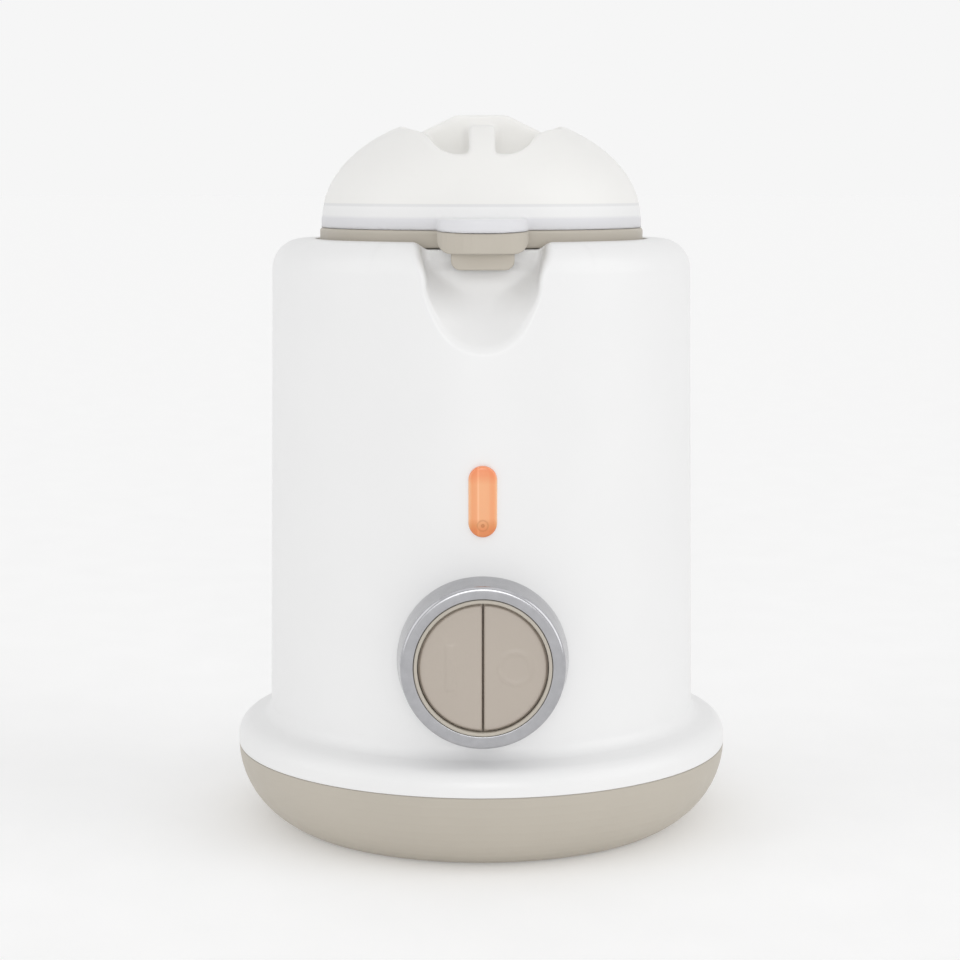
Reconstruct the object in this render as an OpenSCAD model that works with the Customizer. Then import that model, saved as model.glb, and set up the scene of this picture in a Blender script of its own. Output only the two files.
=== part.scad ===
// Baby bottle warmer and steam sterilizer: a white tower on a taupe bowl base, with a lift-out
// bottle basket, a frosted dome lid, a split push button and a pilot window.
// Millimetres, +Z up, origin on the floor below the tower's axis, front towards -Y.

/* [Body] */
// Largest radius, at the seam between the white shell and the taupe base
base_r = 75; // [72:0.5:80]
// Height of that seam above the floor
seam_z = 23.4; // [21:0.2:26]
// Height of the flared foot's edge above the seam, before it is rounded
foot_edge_h = 6.6; // [6:0.2:8]
// Rounding of the flared foot's edge
foot_round = 5.5; // [3:0.5:6]
// Rise of the flared foot from its edge to the crease at the tower
foot_rise = 3; // [1.5:0.2:4]
// Hollow rounding in that crease
crease_round = 3; // [1:0.5:4]
// Width of the flared foot round the tower
foot_w = 10; // [8.5:0.5:12]
// Difference in radius between the tower's crease and its top
tower_taper = 2; // [1:0.2:3]
// Height of the tower's flat top
tower_top_z = 177.3; // [170:0.5:190]
// Rounding of the tower's shoulder
shoulder_round = 9; // [6:0.5:10]
// Wall of the white shell
shell_wall = 2.5; // [2:0.1:3]

/* [Finger scoop] */
// Radius of the scoop's round bottom
scoop_r = 14.8; // [13:0.2:16]
// Depth of the centre of its round bottom below the tower's top
scoop_depth = 13.9; // [13:0.1:16]
// Distance that the scoop's own axis stands in front of the tower
scoop_out = 3.5; // [3:0.1:5]
// Growth of the scoop's half width up to its rounded top edge
scoop_taper = 2.8; // [2:0.1:3.2]
// Rounding of that top edge
scoop_edge = 4; // [3:0.5:5]
// Radius by which the bowl flares out towards the basket's rim
scoop_flare = 12; // [11:0.1:12.5]
// Lip left standing between the scoop and the cup's seat
scoop_lip = 1.3; // [1:0.1:1.8]

/* [Chamber cup] */
// Room between the tower's wall and the chamber
chamber_room = 20; // [19:0.1:21]
// Wall of the cup
cup_wall = 2; // [1.6:0.1:2.4]
// Width of the flange that hangs the cup in the tower
cup_flange_w = 5.4; // [4.6:0.1:5.8]
// Thickness of that flange
cup_flange_t = 2; // [1.5:0.1:2.5]
// Depth of the seat for it below the tower's top
seat_depth = 4.1; // [3.5:0.1:4.6]
// Height of the cup's inner ledge above the base's seam
cup_ledge_h = 13.1; // [12.5:0.1:16]
// Thickness of the ledge
cup_ledge_t = 2.5; // [2:0.1:3.5]
// Width of the ledge
cup_ledge_w = 6; // [5.5:0.1:8]

/* [Bottle basket] */
// Distance of the rim inside the edge of the cup's flange
rim_inset = 1.2; // [0.8:0.1:1.4]
// Width of the rim's top, outside the lid's seat
rim_land = 3.6; // [3:0.1:4]
// Height of the rim
rim_h = 5; // [4:0.1:6]
// Gap between the cage and the cup
cage_gap = 1.2; // [0.9:0.1:1.8]
// Wall of the cage
cage_wall = 1.8; // [1.4:0.1:2.2]
// Height of the basket's floor above the cup's ledge
cage_lift = 9; // [6:0.5:20]
// Thickness of the basket's floor
cage_floor_t = 2.5; // [2:0.1:3.5]
// Height of the slots' lower ends above the basket's floor
slot_low = 14; // [10:1:30]
// Distance of the slots' upper ends below the cup's flange
slot_high = 18; // [12:1:30]
// Number of tall slots round the cage
slot_count = 10; // [6:1:12]
// Width of a slot
slot_w = 13; // [8:0.5:14]
// Radius of the drain hole in the middle of the basket's floor
drain_r = 7; // [4:0.5:9]
// Radius of the drain holes round it
drain_small_r = 5; // [3:0.5:6]
// Distance of those holes inside the cage's wall
drain_inset = 13; // [11:0.5:15]
// Width of the front tab
tab_w = 25.6; // [24:0.2:29]
// Reach of the tab in front of the tower
tab_out = 2.5; // [1:0.1:3.5]
// Rounding of the tab's front corners
tab_round = 10; // [6:0.5:12]
// Sag of the tabs' meeting edges in the middle
tab_sag = 0.5; // [0.3:0.1:1.3]
// Rounding of the basket tab's lower corners
tab_low_round = 4; // [2.5:0.1:4.5]
// Width of the block below the tab
tab_block_w = 17.6; // [14:0.2:19]
// Drop of that block below the rim
tab_block_drop = 5.6; // [4:0.1:6.5]

/* [Lid] */
// Distance of the dome inside the basket's rim
dome_inset = 0.7; // [0.6:0.1:1.4]
// Rise of the dome above its own centre
dome_rise = 31.7; // [28:0.1:36]
// Height of the dome's centre above the lip's underside
dome_lift = 2.5; // [1.5:0.1:3]
// Wall of the lid
lid_wall = 2; // [1.6:0.1:2.4]
// Height of the step inside the dome above the dome's centre
lid_step = 4.1; // [2:0.1:6]
// Distance that the lip stands out from the dome
lip_out = 0.2; // [0.2:0.1:0.6]
// Height of the lip
lip_h = 3.3; // [2.6:0.1:4]
// Depth of the ring that centres the lid in the basket's rim
lid_plug = 2; // [1.2:0.1:2.6]
// Half width of the lens-shaped hollow round the grip
hollow_w = 24.3; // [22:0.1:26]
// Half length of that hollow, front to back
hollow_l = 43.4; // [40:0.2:46]
// Drop from the grip's top to the floor of the hollow
hollow_drop = 12; // [9:0.2:13]
// Drop from the dome's crown to the flat top of the grip
grip_drop = 1; // [0.6:0.1:2]
// Thickness of the grip bar
grip_t = 8; // [6:0.2:10]
// Width of the grip's flat top
grip_top_w = 15; // [10:0.5:18]
// Distance from the axis to the dip at each end of the grip
grip_dip_x = 18.6; // [16:0.2:20]
// Drop from the grip's top to the dip
grip_dip_drop = 5.4; // [3:0.2:7]
// Thickness of the rib that runs front to back through the grip
rib_t = 7.6; // [6:0.2:8]
// Drop from the grip's top to the rib's crest
rib_drop = 3.4; // [2:0.2:5]
// Radius of the steam vents behind the grip
vent_r = 1.5; // [1:0.1:2]
// Sideways distance of the vents from the rib's middle
vent_x = 9; // [7:0.2:10]
// Distance of the vents behind the grip's middle
vent_y = 14; // [10:0.2:18]

/* [Base] */
// Distance of the flat underside's edge inside the base's largest radius
base_inset = 14.5; // [13:0.5:16]
// Radius of the bowl's section
bowl_round = 26; // [25:0.2:28]
// Wall of the base
base_wall = 2.5; // [2:0.1:3]
// Height that the rubber feet stand below the base
foot_out = 0.6; // [0.4:0.1:1]
// Depth that the feet are let into the base
foot_in = 1; // [0.6:0.1:1.4]
// Radius of a foot
foot_r = 6; // [4.5:0.5:7]
// Distance of the feet inside the flat underside's edge
foot_inset = 10.5; // [8:0.5:14]
// Height of the tongue that enters the white shell
tongue_h = 2.4; // [1.5:0.1:2.6]
// Thickness of the tongue
tongue_t = 1.8; // [1.4:0.1:2.4]
// Depth of the tongue's root below the seam
tongue_root = 7; // [6.8:0.1:7.4]
// Distance of the base screws inside the tower's outside
post_inset = 13; // [12:0.2:14]
// Radius of the posts that take the base screws
post_r = 4; // [3.5:0.1:4.5]
// Height of the posts' tops above the tower's crease
post_rise = 11; // [6:0.5:14]
// Height of the base's own screw bosses above its floor
boss_h = 6.5; // [5:0.1:8]
// Depth that the base screws' heads are sunk into the underside
head_sink = 2; // [1.5:0.1:2.5]
// Depth that a base screw enters its post
post_bite = 12; // [8:0.5:14]

/* [Cord gland] */
// Height of the gland's axis
gland_z = 13.5; // [13:0.1:14.5]
// Radius of the gland's stem
gland_stem_r = 5; // [4.5:0.1:5.5]
// Radius of the gland's collar
gland_collar_r = 7.5; // [7:0.1:8]
// Thickness of the collar
gland_collar_t = 2; // [1.5:0.1:2.5]
// Radius of the hole for a cord
gland_bore_r = 3.2; // [2.5:0.1:3.6]
// Depth of the gland's seat inside the base's largest radius
gland_inset = 3; // [2.8:0.1:3.6]
// Wall of that boss round the collar's seat
gland_rim = 1.5; // [1:0.1:1.8]
// Thickness of the gland's nut
gland_nut_t = 4; // [3:0.1:5]

/* [Heater] */
// Distance of the plate's edge inside the cup's inner wall
plate_inset = 0.5; // [0.3:0.1:1]
// Thickness of the heating plate
plate_t = 2.5; // [2:0.1:3]
// Thickness of the silicone seal above the plate
seal_t = 1.5; // [1:0.1:2]
// Width of the seal
seal_w = 4; // [3:0.1:4.5]
// Gap between the element and the clamp ring
element_room = 5.7; // [4:0.1:7]
// Radius of the element's tube
element_tube_r = 3.3; // [3:0.1:3.6]
// Depth of the flat that is brazed to the plate
element_flat = 0.4; // [0.2:0.1:0.8]
// Radius of the element's end pins
pin_r = 2; // [1.6:0.1:2.4]
// Gap in the element's ring, at the rear
element_gap_deg = 40; // [30:1:60]
// Length of the element's end pins below the plate
pin_l = 16.5; // [15:0.1:17]
// Thickness of the clamp ring below the plate
clamp_t = 2.2; // [1.6:0.1:2.6]
// Width of the clamp ring's bearing on the plate
clamp_w = 7; // [5:0.5:8]
// Distance of the clamp screws outside the cup
clamp_out = 3.3; // [3:0.1:3.6]
// Depth that a clamp screw enters the cup's boss
clamp_bite = 7; // [5:0.5:8]
// Height of the cup's bosses for those screws
clamp_boss_h = 16; // [12:0.5:20]
// Radius of the thermostat
thermostat_r = 8; // [7:0.1:9]
// Height of the thermostat
thermostat_h = 8; // [7:0.1:9]
// Thickness of sheet straps and clips
sheet_t = 1; // [0.8:0.1:1.2]
// Width of the thermostat's strap
strap_w = 7; // [5:0.2:9]
// Radius of the thermal fuse
fuse_r = 2.2; // [1.8:0.1:2.4]
// Length of the thermal fuse
fuse_l = 14; // [11:0.2:15]
// Distance that the heat shield reaches past the cup's wall
shield_over = 0.5; // [-1:0.1:1.5]
// Height of the heat shield above the base's floor
shield_h = 10.5; // [10:0.1:11]
// Height of the heat shield's turned-up rim
shield_rim = 3; // [2:0.1:3.5]
// Inner radius of the heat shield's bend
shield_bend = 0.6; // [0.4:0.1:1]
// Distance of the heat shield's screws inside its edge
shield_inset = 8; // [6.5:0.1:10]
// Depth that a shield screw enters its post
shield_bite = 6; // [4:0.5:7]
// Room beside the element's pins in the shield's notch
notch_room = 4.1; // [3:0.1:5]
// Room in front of the element's pins in that notch
notch_front = 6.4; // [4:0.1:7]
// Distance of the terminal block behind the element's ring
block_out = 7; // [6:0.5:10]
// Height of the leads above the base's floor at the terminal block
lead_h = 5; // [4:0.1:6]
// Radius of a heater lead
lead_r = 1.1; // [0.8:0.1:1.4]
// Pitch of the terminals
terminal_pitch = 8.6; // [8:0.1:9.5]

/* [Push button] */
// Height of the button's centre
button_z = 60.4; // [58:0.05:62]
// Distance that the bezel stands out of the tower
bezel_out = 9.9; // [8.5:0.1:10]
// Width of the bezel's front face
bezel_face_w = 3.6; // [3.2:0.05:4]
// Extra radius of the bezel where it meets the tower
bezel_draft = 1.3; // [0.6:0.1:1.4]
// Step in the bezel's bore that the trim ring rests on
bezel_step = 0.3; // [0.2:0.05:0.4]
// Rounding of the bezel's front edge
bezel_edge = 1.2; // [0.6:0.1:1.5]
// Width by which the bezel laps over its hole in the tower
bezel_lap = 2.1; // [1.6:0.1:2.5]
// Radius of the two button halves together
button_r = 17.7; // [17.2:0.05:18]
// Gap round the button halves and between them
button_gap = 0.6; // [0.45:0.05:0.8]
// Travel of a button half
button_travel = 2; // [1.2:0.1:2.2]
// Depth of the button halves' faces behind the bezel's face
button_sunk = 0.4; // [0.2:0.1:0.8]
// Depth of a button half's skirt
button_depth = 13.1; // [12:0.1:13.5]
// Thickness of a button half's face
button_face_t = 2.4; // [2:0.1:3]
// Thickness of the trim ring
trim_t = 0.95; // [0.7:0.05:1.1]
// Height that the trim ring stands proud of the bezel
trim_proud = 0.3; // [0:0.05:0.5]
// Thickness of the button carrier
carrier_t = 3; // [2.6:0.1:3.2]
// Distance that the button carrier's disc reaches past the bezel's hole
carrier_over = 2; // [1.5:0.1:2.6]
// Sideways distance of a half's plunger and guide pins from the split
plunger_x = 9; // [8.5:0.1:9.5]
// Distance of the guide pins above and below the plunger
guide_at = 9.5; // [9:0.1:10]
// Radius of a plunger
plunger_r = 2.5; // [2:0.1:2.8]
// Wall of a button half's skirt
skirt_t = 1.6; // [1.3:0.1:1.9]
// Thickness of the flange that keeps a button half in
flange_t = 1.2; // [1:0.1:1.4]
// Radius of a guide pin
guide_r = 2; // [1.6:0.1:2.2]
// Depth that the guide pins enter the carrier
guide_in = 2.2; // [1.6:0.1:2.4]
// Turns of a return spring
spring_turns = 5; // [3:1:6]
// Wire radius of a return spring
spring_wire_r = 0.35; // [0.3:0.05:0.4]

/* [Control board] */
// Width and height of the control board
board_w = 40; // [38:0.5:42]
// Thickness of the circuit boards
board_t = 1.6; // [1.2:0.1:1.6]
// Gap between the cup and the control board
board_clear = 1; // [0.8:0.1:1.4]
// Gap between the carrier and the control board
board_gap = 2.4; // [2.2:0.1:2.6]
// Sideways distance of the board screws from the centre
board_hole_x = 15; // [14.5:0.1:15.5]
// Height of the board screws above and below the centre
board_hole_z = 15; // [14.5:0.1:15.5]
// Depth that a board screw enters the carrier
board_bite = 1.6; // [1.4:0.1:1.8]
// Radius of the stand-offs behind the carrier
standoff_r = 2.8; // [2.5:0.1:3]
// Side of a tactile switch
tact_w = 6; // [5:0.2:6.2]
// Height of a tactile switch's body
tact_h = 3.5; // [3:0.1:3.6]
// Height of a tactile switch's knob
tact_knob_h = 0.8; // [0.6:0.1:1]
// Radius of that knob
tact_knob_r = 1.7; // [1.4:0.1:2]

/* [Pilot window] */
// Height of the window's centre
window_z = 105.7; // [105:0.1:115]
// Width of the window
window_w = 8.1; // [7:0.1:9]
// Height of the window
window_h = 20.1; // [18:0.1:22]
// Height that the lens bulges out of the tower
lens_bulge = 1.2; // [0.6:0.1:1.8]
// Radius of the lens's rounded face
lens_round = 12; // [9:0.5:20]
// Width of the lens's hidden flange
lens_flange = 1.6; // [1.2:0.1:2]
// Depth of the lens's back below the tower's surface
lens_depth = 4.5; // [4.2:0.1:5]
// Depth of the lamp holder behind the lens
holder_depth = 7; // [6:0.1:8]
// Wall of the lamp holder
holder_wall = 1.6; // [1.2:0.1:2]
// Room round the window inside the lamp holder
holder_room = 0.5; // [0.3:0.1:0.8]
// Thickness of the holder's screw ears
holder_ear_t = 2.5; // [2:0.1:3]
// Depth of the ears' front behind the holder's front
holder_ear_back = 2; // [1.6:0.1:2.4]
// Depth that a holder screw enters its boss
holder_bite = 2.5; // [2:0.1:2.6]
// Distance of the holder's screws above and below the window's centre
holder_screw_z = 18.5; // [18:0.1:19.5]
// Number of pilot lamps
lamp_count = 3; // [1:1:3]
// Radius of a pilot lamp
lamp_r = 2.4; // [1.8:0.1:2.5]
// Height of a pilot lamp
lamp_h = 5; // [4:0.1:6]

/* [Power board] */
// Width of the power board at the rear
power_w = 40; // [36:0.5:42]
// Height of the power board
power_h = 52; // [46:0.5:56]
// Height of the power board's centre
power_z = 92; // [86:0.5:110]
// Gap between the cup and the power board
power_gap = 2; // [1.6:0.1:3]
// Distance of its screws above and below its centre
power_screw_z = 21; // [20:0.5:22]
// Depth that a power-board screw enters its boss
power_bite = 6.5; // [5:0.1:8]
// Width of the relay and of the supply can beside it
relay_w = 15; // [12:0.5:16]
// Height of the relay
relay_h = 19; // [16:0.5:22]
// Depth of the relay
relay_d = 7; // [5:0.5:8]
// Sideways distance of the relay and the can from the board's middle
relay_x = 9.5; // [9:0.1:10]

/* [Fasteners and fits] */
// Shank radius of the screws
screw_r = 1.5; // [1.3:0.1:1.6]
// Head radius of the screws
screw_head_r = 2.8; // [2.5:0.1:3]
// Head height of the screws
screw_head_h = 1.4; // [1.2:0.1:1.5]
// Radius of the bosses that take the screws
boss_r = 3.5; // [3.2:0.1:3.6]
// Extra radius of the ears that lie on the bosses
ear_over = 0.5; // [0.3:0.1:0.7]
// Depth that a carrier screw enters its boss
carrier_bite = 2.7; // [2.2:0.1:3]
// Room past the tip of a screw in its hole
tip_gap = 0.8; // [0.4:0.1:0.8]
// Gap between parts that move past each other or lift off
run_gap = 0.3; // [0.2:0.05:0.4]
// Gap between parts that are fitted together
fit_gap = 0.1; // [0.05:0.05:0.15]

/* [Hidden] */
$fn = 96;

white = [0.93, 0.93, 0.92];
taupe = [0.70, 0.66, 0.61];
frost = [0.94, 0.94, 0.93, 0.6];
chrome = [0.78, 0.78, 0.80];
steel = [0.62, 0.63, 0.65];
dark = [0.16, 0.16, 0.17];
board_green = [0.13, 0.36, 0.22];
amber = [0.95, 0.55, 0.25];
rubber = [0.30, 0.29, 0.28];
lead_red = [0.75, 0.15, 0.12];

// Length by which cuts run past a surface
past = 5;

// Levels from the floor up
base_z = foot_out;
foot_edge_z = seam_z + foot_edge_h;
crease_z = foot_edge_z + foot_rise;
cup_ledge_z = seam_z + cup_ledge_h;
cage_floor_z = cup_ledge_z + cup_ledge_t + cage_lift;
scoop_z = tower_top_z - scoop_depth;
floor_z = base_z + base_wall;
shield_z = floor_z + shield_h;
plate_top_z = cup_ledge_z - seal_t;
plate_z = plate_top_z - plate_t;
clamp_z = plate_z - clamp_t;
seat_z = tower_top_z - seat_depth;
cup_top_z = seat_z + cup_flange_t;
rim_z = cup_top_z + run_gap;
rim_top_z = rim_z + rim_h;
lip_z = rim_top_z + run_gap;
dome_z = lip_z + dome_lift;
grip_top_z = dome_z + dome_rise - grip_drop;
hollow_z = grip_top_z - hollow_drop;

// Radii that follow from fits
tower_low_r = base_r - foot_w;
tower_top_r = tower_low_r - tower_taper;
cup_r = tower_low_r - shell_wall - chamber_room;
cup_out_r = cup_r + cup_wall;
cup_ledge_r = cup_r - cup_ledge_w;
cup_flange_r = cup_out_r + cup_flange_w;
mouth_r = cup_out_r + run_gap;
seat_r = cup_flange_r + run_gap;
rim_r = cup_flange_r - rim_inset;
rim_step_r = rim_r - rim_land;
cage_r = cup_r - cage_gap;
dome_r = rim_r - dome_inset;
lip_r = dome_r + lip_out;
plate_r = cup_r - plate_inset;
clamp_at = cup_out_r + clamp_out;
element_ring_r = plate_r - clamp_w - element_room - element_tube_r;
shield_r = cup_out_r + shield_over;
shield_at = shield_r - shield_inset;
base_floor_r = base_r - base_inset;
foot_at = base_floor_r - foot_inset;
post_at = tower_low_r - post_inset;
scoop_axis = tower_top_r + scoop_out;
scoop_mouth_r = scoop_r + scoop_taper;
tab_reach = tower_top_r + tab_out;
gland_face = base_r - gland_inset;
hollow_round = (hollow_w * hollow_w + hollow_l * hollow_l) / (2 * hollow_w);
clamp_angles = [90, 210, 330];
post_angles = [45, 135, 225, 315];
shield_angles = [30, 150, 270];

// Depths of the push button, measured forwards from the tower's axis
bezel_bore_r = button_r + button_gap + trim_t + fit_gap;
bezel_step_r = bezel_bore_r - bezel_step;
bezel_r = bezel_bore_r + bezel_face_w;
bezel_hole_r = bezel_r - bezel_lap;
bezel_front = tower_r(button_z) + bezel_out;
button_front = bezel_front - button_sunk;
button_back = button_front - button_depth;
trim_back = button_back + flange_t + run_gap;
board_back = cup_out_r + board_clear;
board_front = board_back + board_t;
carrier_back = board_front + board_gap;
carrier_front = carrier_back + carrier_t;
carrier_r = bezel_hole_r + carrier_over;
ear_r = boss_r + ear_over;
carrier_wall_r = tower_r(button_z) - shell_wall - run_gap;
carrier_ear = sqrt(carrier_wall_r * carrier_wall_r - carrier_front * carrier_front) - ear_r;
tact_top = board_front + tact_h;
plunger_end = tact_top + tact_knob_h + button_travel + run_gap;
spring_r = guide_r + 1;
shoulder_r = spring_r + 2 * spring_wire_r;

// Depths of the pilot window and of the power board, measured from the tower's axis
lens_front = tower_r(window_z) + lens_bulge;
lens_back = tower_r(window_z) - lens_depth;
holder_front = lens_back - holder_ear_back;
holder_back = lens_back - holder_depth;
holder_in_w = window_w + 2 * holder_room;
holder_in_h = window_h + 2 * holder_room;
power_at = cup_out_r + power_gap;
power_back = power_at + board_t;

// Heater and base
pin_x = element_ring_r * sin(element_gap_deg / 2);
pin_y = element_ring_r * cos(element_gap_deg / 2);
block_y = element_ring_r + block_out;
fuse_z = plate_z - sheet_t - fuse_r;
fuse_room = (element_ring_r - element_tube_r - thermostat_r) / 2;
fuse_at = thermostat_r + fuse_room;
tongue_r = base_r - shell_wall - fit_gap;
head_z = base_z + screw_head_h + head_sink;
base_boss_r = screw_head_r + run_gap + base_wall;
foot_angles = [0, 90, 180, 270];
block_size = [30, 13, 8];

// Centre of the bowl's section: it passes through the seam's edge and the flat underside's edge
bowl_a = [base_r, seam_z];
bowl_b = [base_floor_r, base_z];
bowl_mid = (bowl_a + bowl_b) / 2;
bowl_half = norm(bowl_a - bowl_b) / 2;
bowl_dir = [bowl_b[1] - bowl_a[1], bowl_a[0] - bowl_b[0]] / (2 * bowl_half);
bowl_c = bowl_mid + bowl_dir * sqrt(bowl_round * bowl_round - bowl_half * bowl_half);

// Depth of the gland's nut: just inside the bowl's inner wall at the nut's lower flat
bowl_in = bowl_round - base_wall;
nut_drop = gland_z - gland_collar_r * cos(30) - bowl_c[1];
gland_back = bowl_c[0] + sqrt(bowl_in * bowl_in - nut_drop * nut_drop) - run_gap;

// Radius of the tower's outside at a height between the crease and the shoulder
function tower_r(z) =
    tower_low_r + (tower_top_r - tower_low_r) * (z - crease_z) / (tower_top_z - crease_z);

// Points along an arc
function arc(c, r, a0, a1, n) =
    [for (i = [0:n]) let (a = a0 + (a1 - a0) * i / n) c + r * [cos(a), sin(a)]];

// Points that round one corner of an outline by radius r
function corner(p0, p1, p2, r, n) = r == 0 ? [p1] :
    let (
        u = (p0 - p1) / norm(p0 - p1),
        v = (p2 - p1) / norm(p2 - p1),
        half = acos(u * v) / 2,
        c = p1 + (u + v) / norm(u + v) * r / sin(half),
        a = p1 + u * r / tan(half) - c,
        b = p1 + v * r / tan(half) - c,
        start = atan2(a[1], a[0]),
        sweep = atan2(a[0] * b[1] - a[1] * b[0], a * b)
    )
    arc(c, r, start, start + sweep, n);

// Closed outline of [x, y, rounding] corners
function rounded(path, n = 6) =
    let (k = len(path), p = [for (q = path) [q[0], q[1]]])
    [for (i = [0:k - 1]) each corner(p[(i + k - 1) % k], p[i], p[(i + 1) % k], path[i][2], n)];

// Solid of revolution about Z from a rounded outline
module revolve(path, n = 6) {
    rotate_extrude() polygon(rounded(path, n));
}

// Flat-ended ring about Z
module ring(r_out, r_in, z0, z1) {
    difference() {
        translate([0, 0, z0]) cylinder(r = r_out, h = z1 - z0);
        translate([0, 0, z0 - 1]) cylinder(r = r_in, h = z1 - z0 + 2);
    }
}

// Plain cylinder between two heights
module rod(r, z0, z1) {
    translate([0, 0, z0]) cylinder(r = r, h = z1 - z0);
}

// Children drawn flat and facing front: their X stays, their Y goes up from height z, their Z comes forwards
module facing(z) {
    translate([0, 0, z]) rotate([90, 0, 0]) children();
}

// Children copied round the axis at the given angles, each moved out by r
module around(angles, r) {
    for (a = angles) rotate([0, 0, a]) translate([r, 0, 0]) children();
}

// Stadium outline of full width w and full height h
module stadium(w, h) {
    square([w, h - w], center = true);
    for (s = [-1, 1]) translate([0, s * (h - w) / 2]) circle(d = w);
}

// Rectangle with rounded corners
module plate_2d(w, h, r) {
    polygon(rounded([[-w / 2, -h / 2, r], [w / 2, -h / 2, r], [w / 2, h / 2, r], [-w / 2, h / 2, r]]));
}

// Pan-head screw: its head stands from z = -head to 0 and its shank rises from 0
module screw(shank_l) {
    rod(screw_r, -screw_head_h / 2, shank_l);
    revolve([
        [0, -screw_head_h, 0],
        [screw_head_r, -screw_head_h, screw_head_h / 2],
        [screw_head_r, 0, 0],
        [0, 0, 0]
    ], 3);
}

// Tower

// Outside of the white shell, let out by g
module tower_outside(g = 0) {
    revolve([
        [0, seam_z - g, 0],
        [base_r + g, seam_z - g, 0],
        [base_r + g, foot_edge_z + g, foot_round],
        [tower_low_r + g, crease_z + g, crease_round],
        [tower_top_r + g, tower_top_z + g, shoulder_round],
        [0, tower_top_z + g, 0]
    ]);
}

// Hollow inside the white shell
module tower_inside() {
    inner_low = tower_low_r - shell_wall;
    inner_top = tower_top_r - shell_wall;
    revolve([
        [0, seam_z - 1, 0],
        [base_r - shell_wall, seam_z - 1, 0],
        [base_r - shell_wall, foot_edge_z - shell_wall, foot_round - shell_wall],
        [inner_low, crease_z - shell_wall, 0],
        [inner_top, tower_top_z - shell_wall, shoulder_round - shell_wall],
        [seat_r + shell_wall, tower_top_z - shell_wall, 0],
        [seat_r + shell_wall, seat_z - shell_wall, 0],
        [0, seat_z - shell_wall, 0]
    ]);
}

// Front outline of the channel that bounds the scoop, let out by g
module channel_2d(g) {
    edge_c = [scoop_mouth_r + scoop_edge, tower_top_z - scoop_edge];
    low = scoop_z - scoop_r - past;
    side = arc(edge_c, scoop_edge - g, 180, 90, 6);
    half = concat(
        [[scoop_r + g, low], [scoop_r + g, scoop_z]], side, [[edge_c[0], tower_top_z + past]]
    );
    polygon(concat(half, [for (i = [len(half) - 1:-1:0]) [-half[i][0], half[i][1]]]));
}

// Finger scoop, let out by g: a bowl that flares towards the rim, kept inside the channel
module scoop(g = 0) {
    flare_c = [scoop_r + scoop_flare, scoop_z];
    low = arc([0, scoop_z], scoop_r + g, -90, 0, 8);
    flare = arc(flare_c, scoop_flare - g, 180, 90, 8);
    intersection() {
        translate([0, -scoop_axis, 0])
            rotate_extrude()
                polygon(concat(low, flare, [[flare_c[0], tower_top_z + past], [0, tower_top_z + past]]));
        facing(0) linear_extrude(2 * base_r) channel_2d(g);
    }
}

// Screw boss from depth end out to the tower's wall at height z, moved sideways by x
module wall_boss(end, z, x = 0) {
    facing(z) translate([x, 0, 0]) rod(boss_r, end, tower_r(z) - shell_wall / 2);
}

// Hole in such a boss for a screw that enters it by bite
module wall_hole(end, z, bite, x = 0) {
    facing(z) translate([x, 0, 0]) rod(screw_r + fit_gap, end - 1, end + bite + tip_gap);
}

module body_shell() {
    color(white)
    difference() {
        union() {
            difference() {
                tower_outside();
                tower_inside();
            }
            intersection() {
                tower_outside();
                scoop(shell_wall);
                rod(base_r, scoop_z - scoop_r - 2 * shell_wall, tower_top_z);
            }
            intersection() {
                tower_outside();
                body_bosses();
            }
        }
        difference() {
            scoop();
            rod(seat_r + scoop_lip, 0, cup_top_z);
        }
        rod(mouth_r, seat_z - 3 * shell_wall, tower_top_z + 1);
        rod(seat_r, seat_z, tower_top_z + 1);
        facing(button_z) rod(bezel_hole_r, cup_out_r, base_r);
        facing(window_z) translate([0, 0, cup_out_r])
            linear_extrude(base_r - cup_out_r) stadium(window_w + 2 * fit_gap, window_h + 2 * fit_gap);
        around(post_angles, post_at) rod(screw_r + fit_gap, 0, floor_z + boss_h + post_bite + tip_gap);
        for (s = [-1, 1]) {
            wall_hole(carrier_front, button_z, carrier_bite, s * carrier_ear);
            wall_hole(holder_front, window_z + s * holder_screw_z, holder_bite);
            rotate([0, 0, 180]) wall_hole(power_back, power_z + s * power_screw_z, power_bite);
        }
    }
}

// Posts and bosses inside the white shell
module body_bosses() {
    rib_low = seam_z + tongue_h + run_gap;
    rib_top = crease_z + post_rise;
    around(post_angles, post_at) {
        rod(post_r, floor_z + boss_h, rib_top);
        translate([0, -shell_wall / 2, rib_low]) cube([base_r - post_at, shell_wall, rib_top - rib_low]);
    }
    for (s = [-1, 1]) {
        wall_boss(carrier_front, button_z, s * carrier_ear);
        wall_boss(holder_front, window_z + s * holder_screw_z);
        rotate([0, 0, 180]) wall_boss(power_back, power_z + s * power_screw_z);
    }
}

// Chamber and heater

module chamber_cup() {
    color(white)
    difference() {
        union() {
            revolve([
                [cup_ledge_r, cup_ledge_z, 0],
                [cup_out_r, cup_ledge_z, 0],
                [cup_out_r, seat_z, 0],
                [cup_flange_r, seat_z, 0],
                [cup_flange_r, cup_top_z, 0.6],
                [cup_r, cup_top_z, 0.6],
                [cup_r, cup_ledge_z + cup_ledge_t, 1.5],
                [cup_ledge_r, cup_ledge_z + cup_ledge_t, 0.8]
            ], 4);
            difference() {
                around(clamp_angles, clamp_at) {
                    rod(boss_r, plate_z, plate_z + clamp_boss_h);
                    translate([-clamp_at, -boss_r, plate_z]) cube([clamp_at, 2 * boss_r, clamp_boss_h]);
                }
                rod(cup_out_r - cup_wall / 2, plate_z - 1, plate_z + clamp_boss_h + 1);
            }
        }
        around(clamp_angles, clamp_at) rod(screw_r + fit_gap, plate_z - 1, plate_z + clamp_bite + tip_gap);
    }
}

module plate_seal() {
    color(rubber)
    ring(plate_r - fit_gap, plate_r - fit_gap - seal_w, plate_top_z, cup_ledge_z);
}

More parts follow.
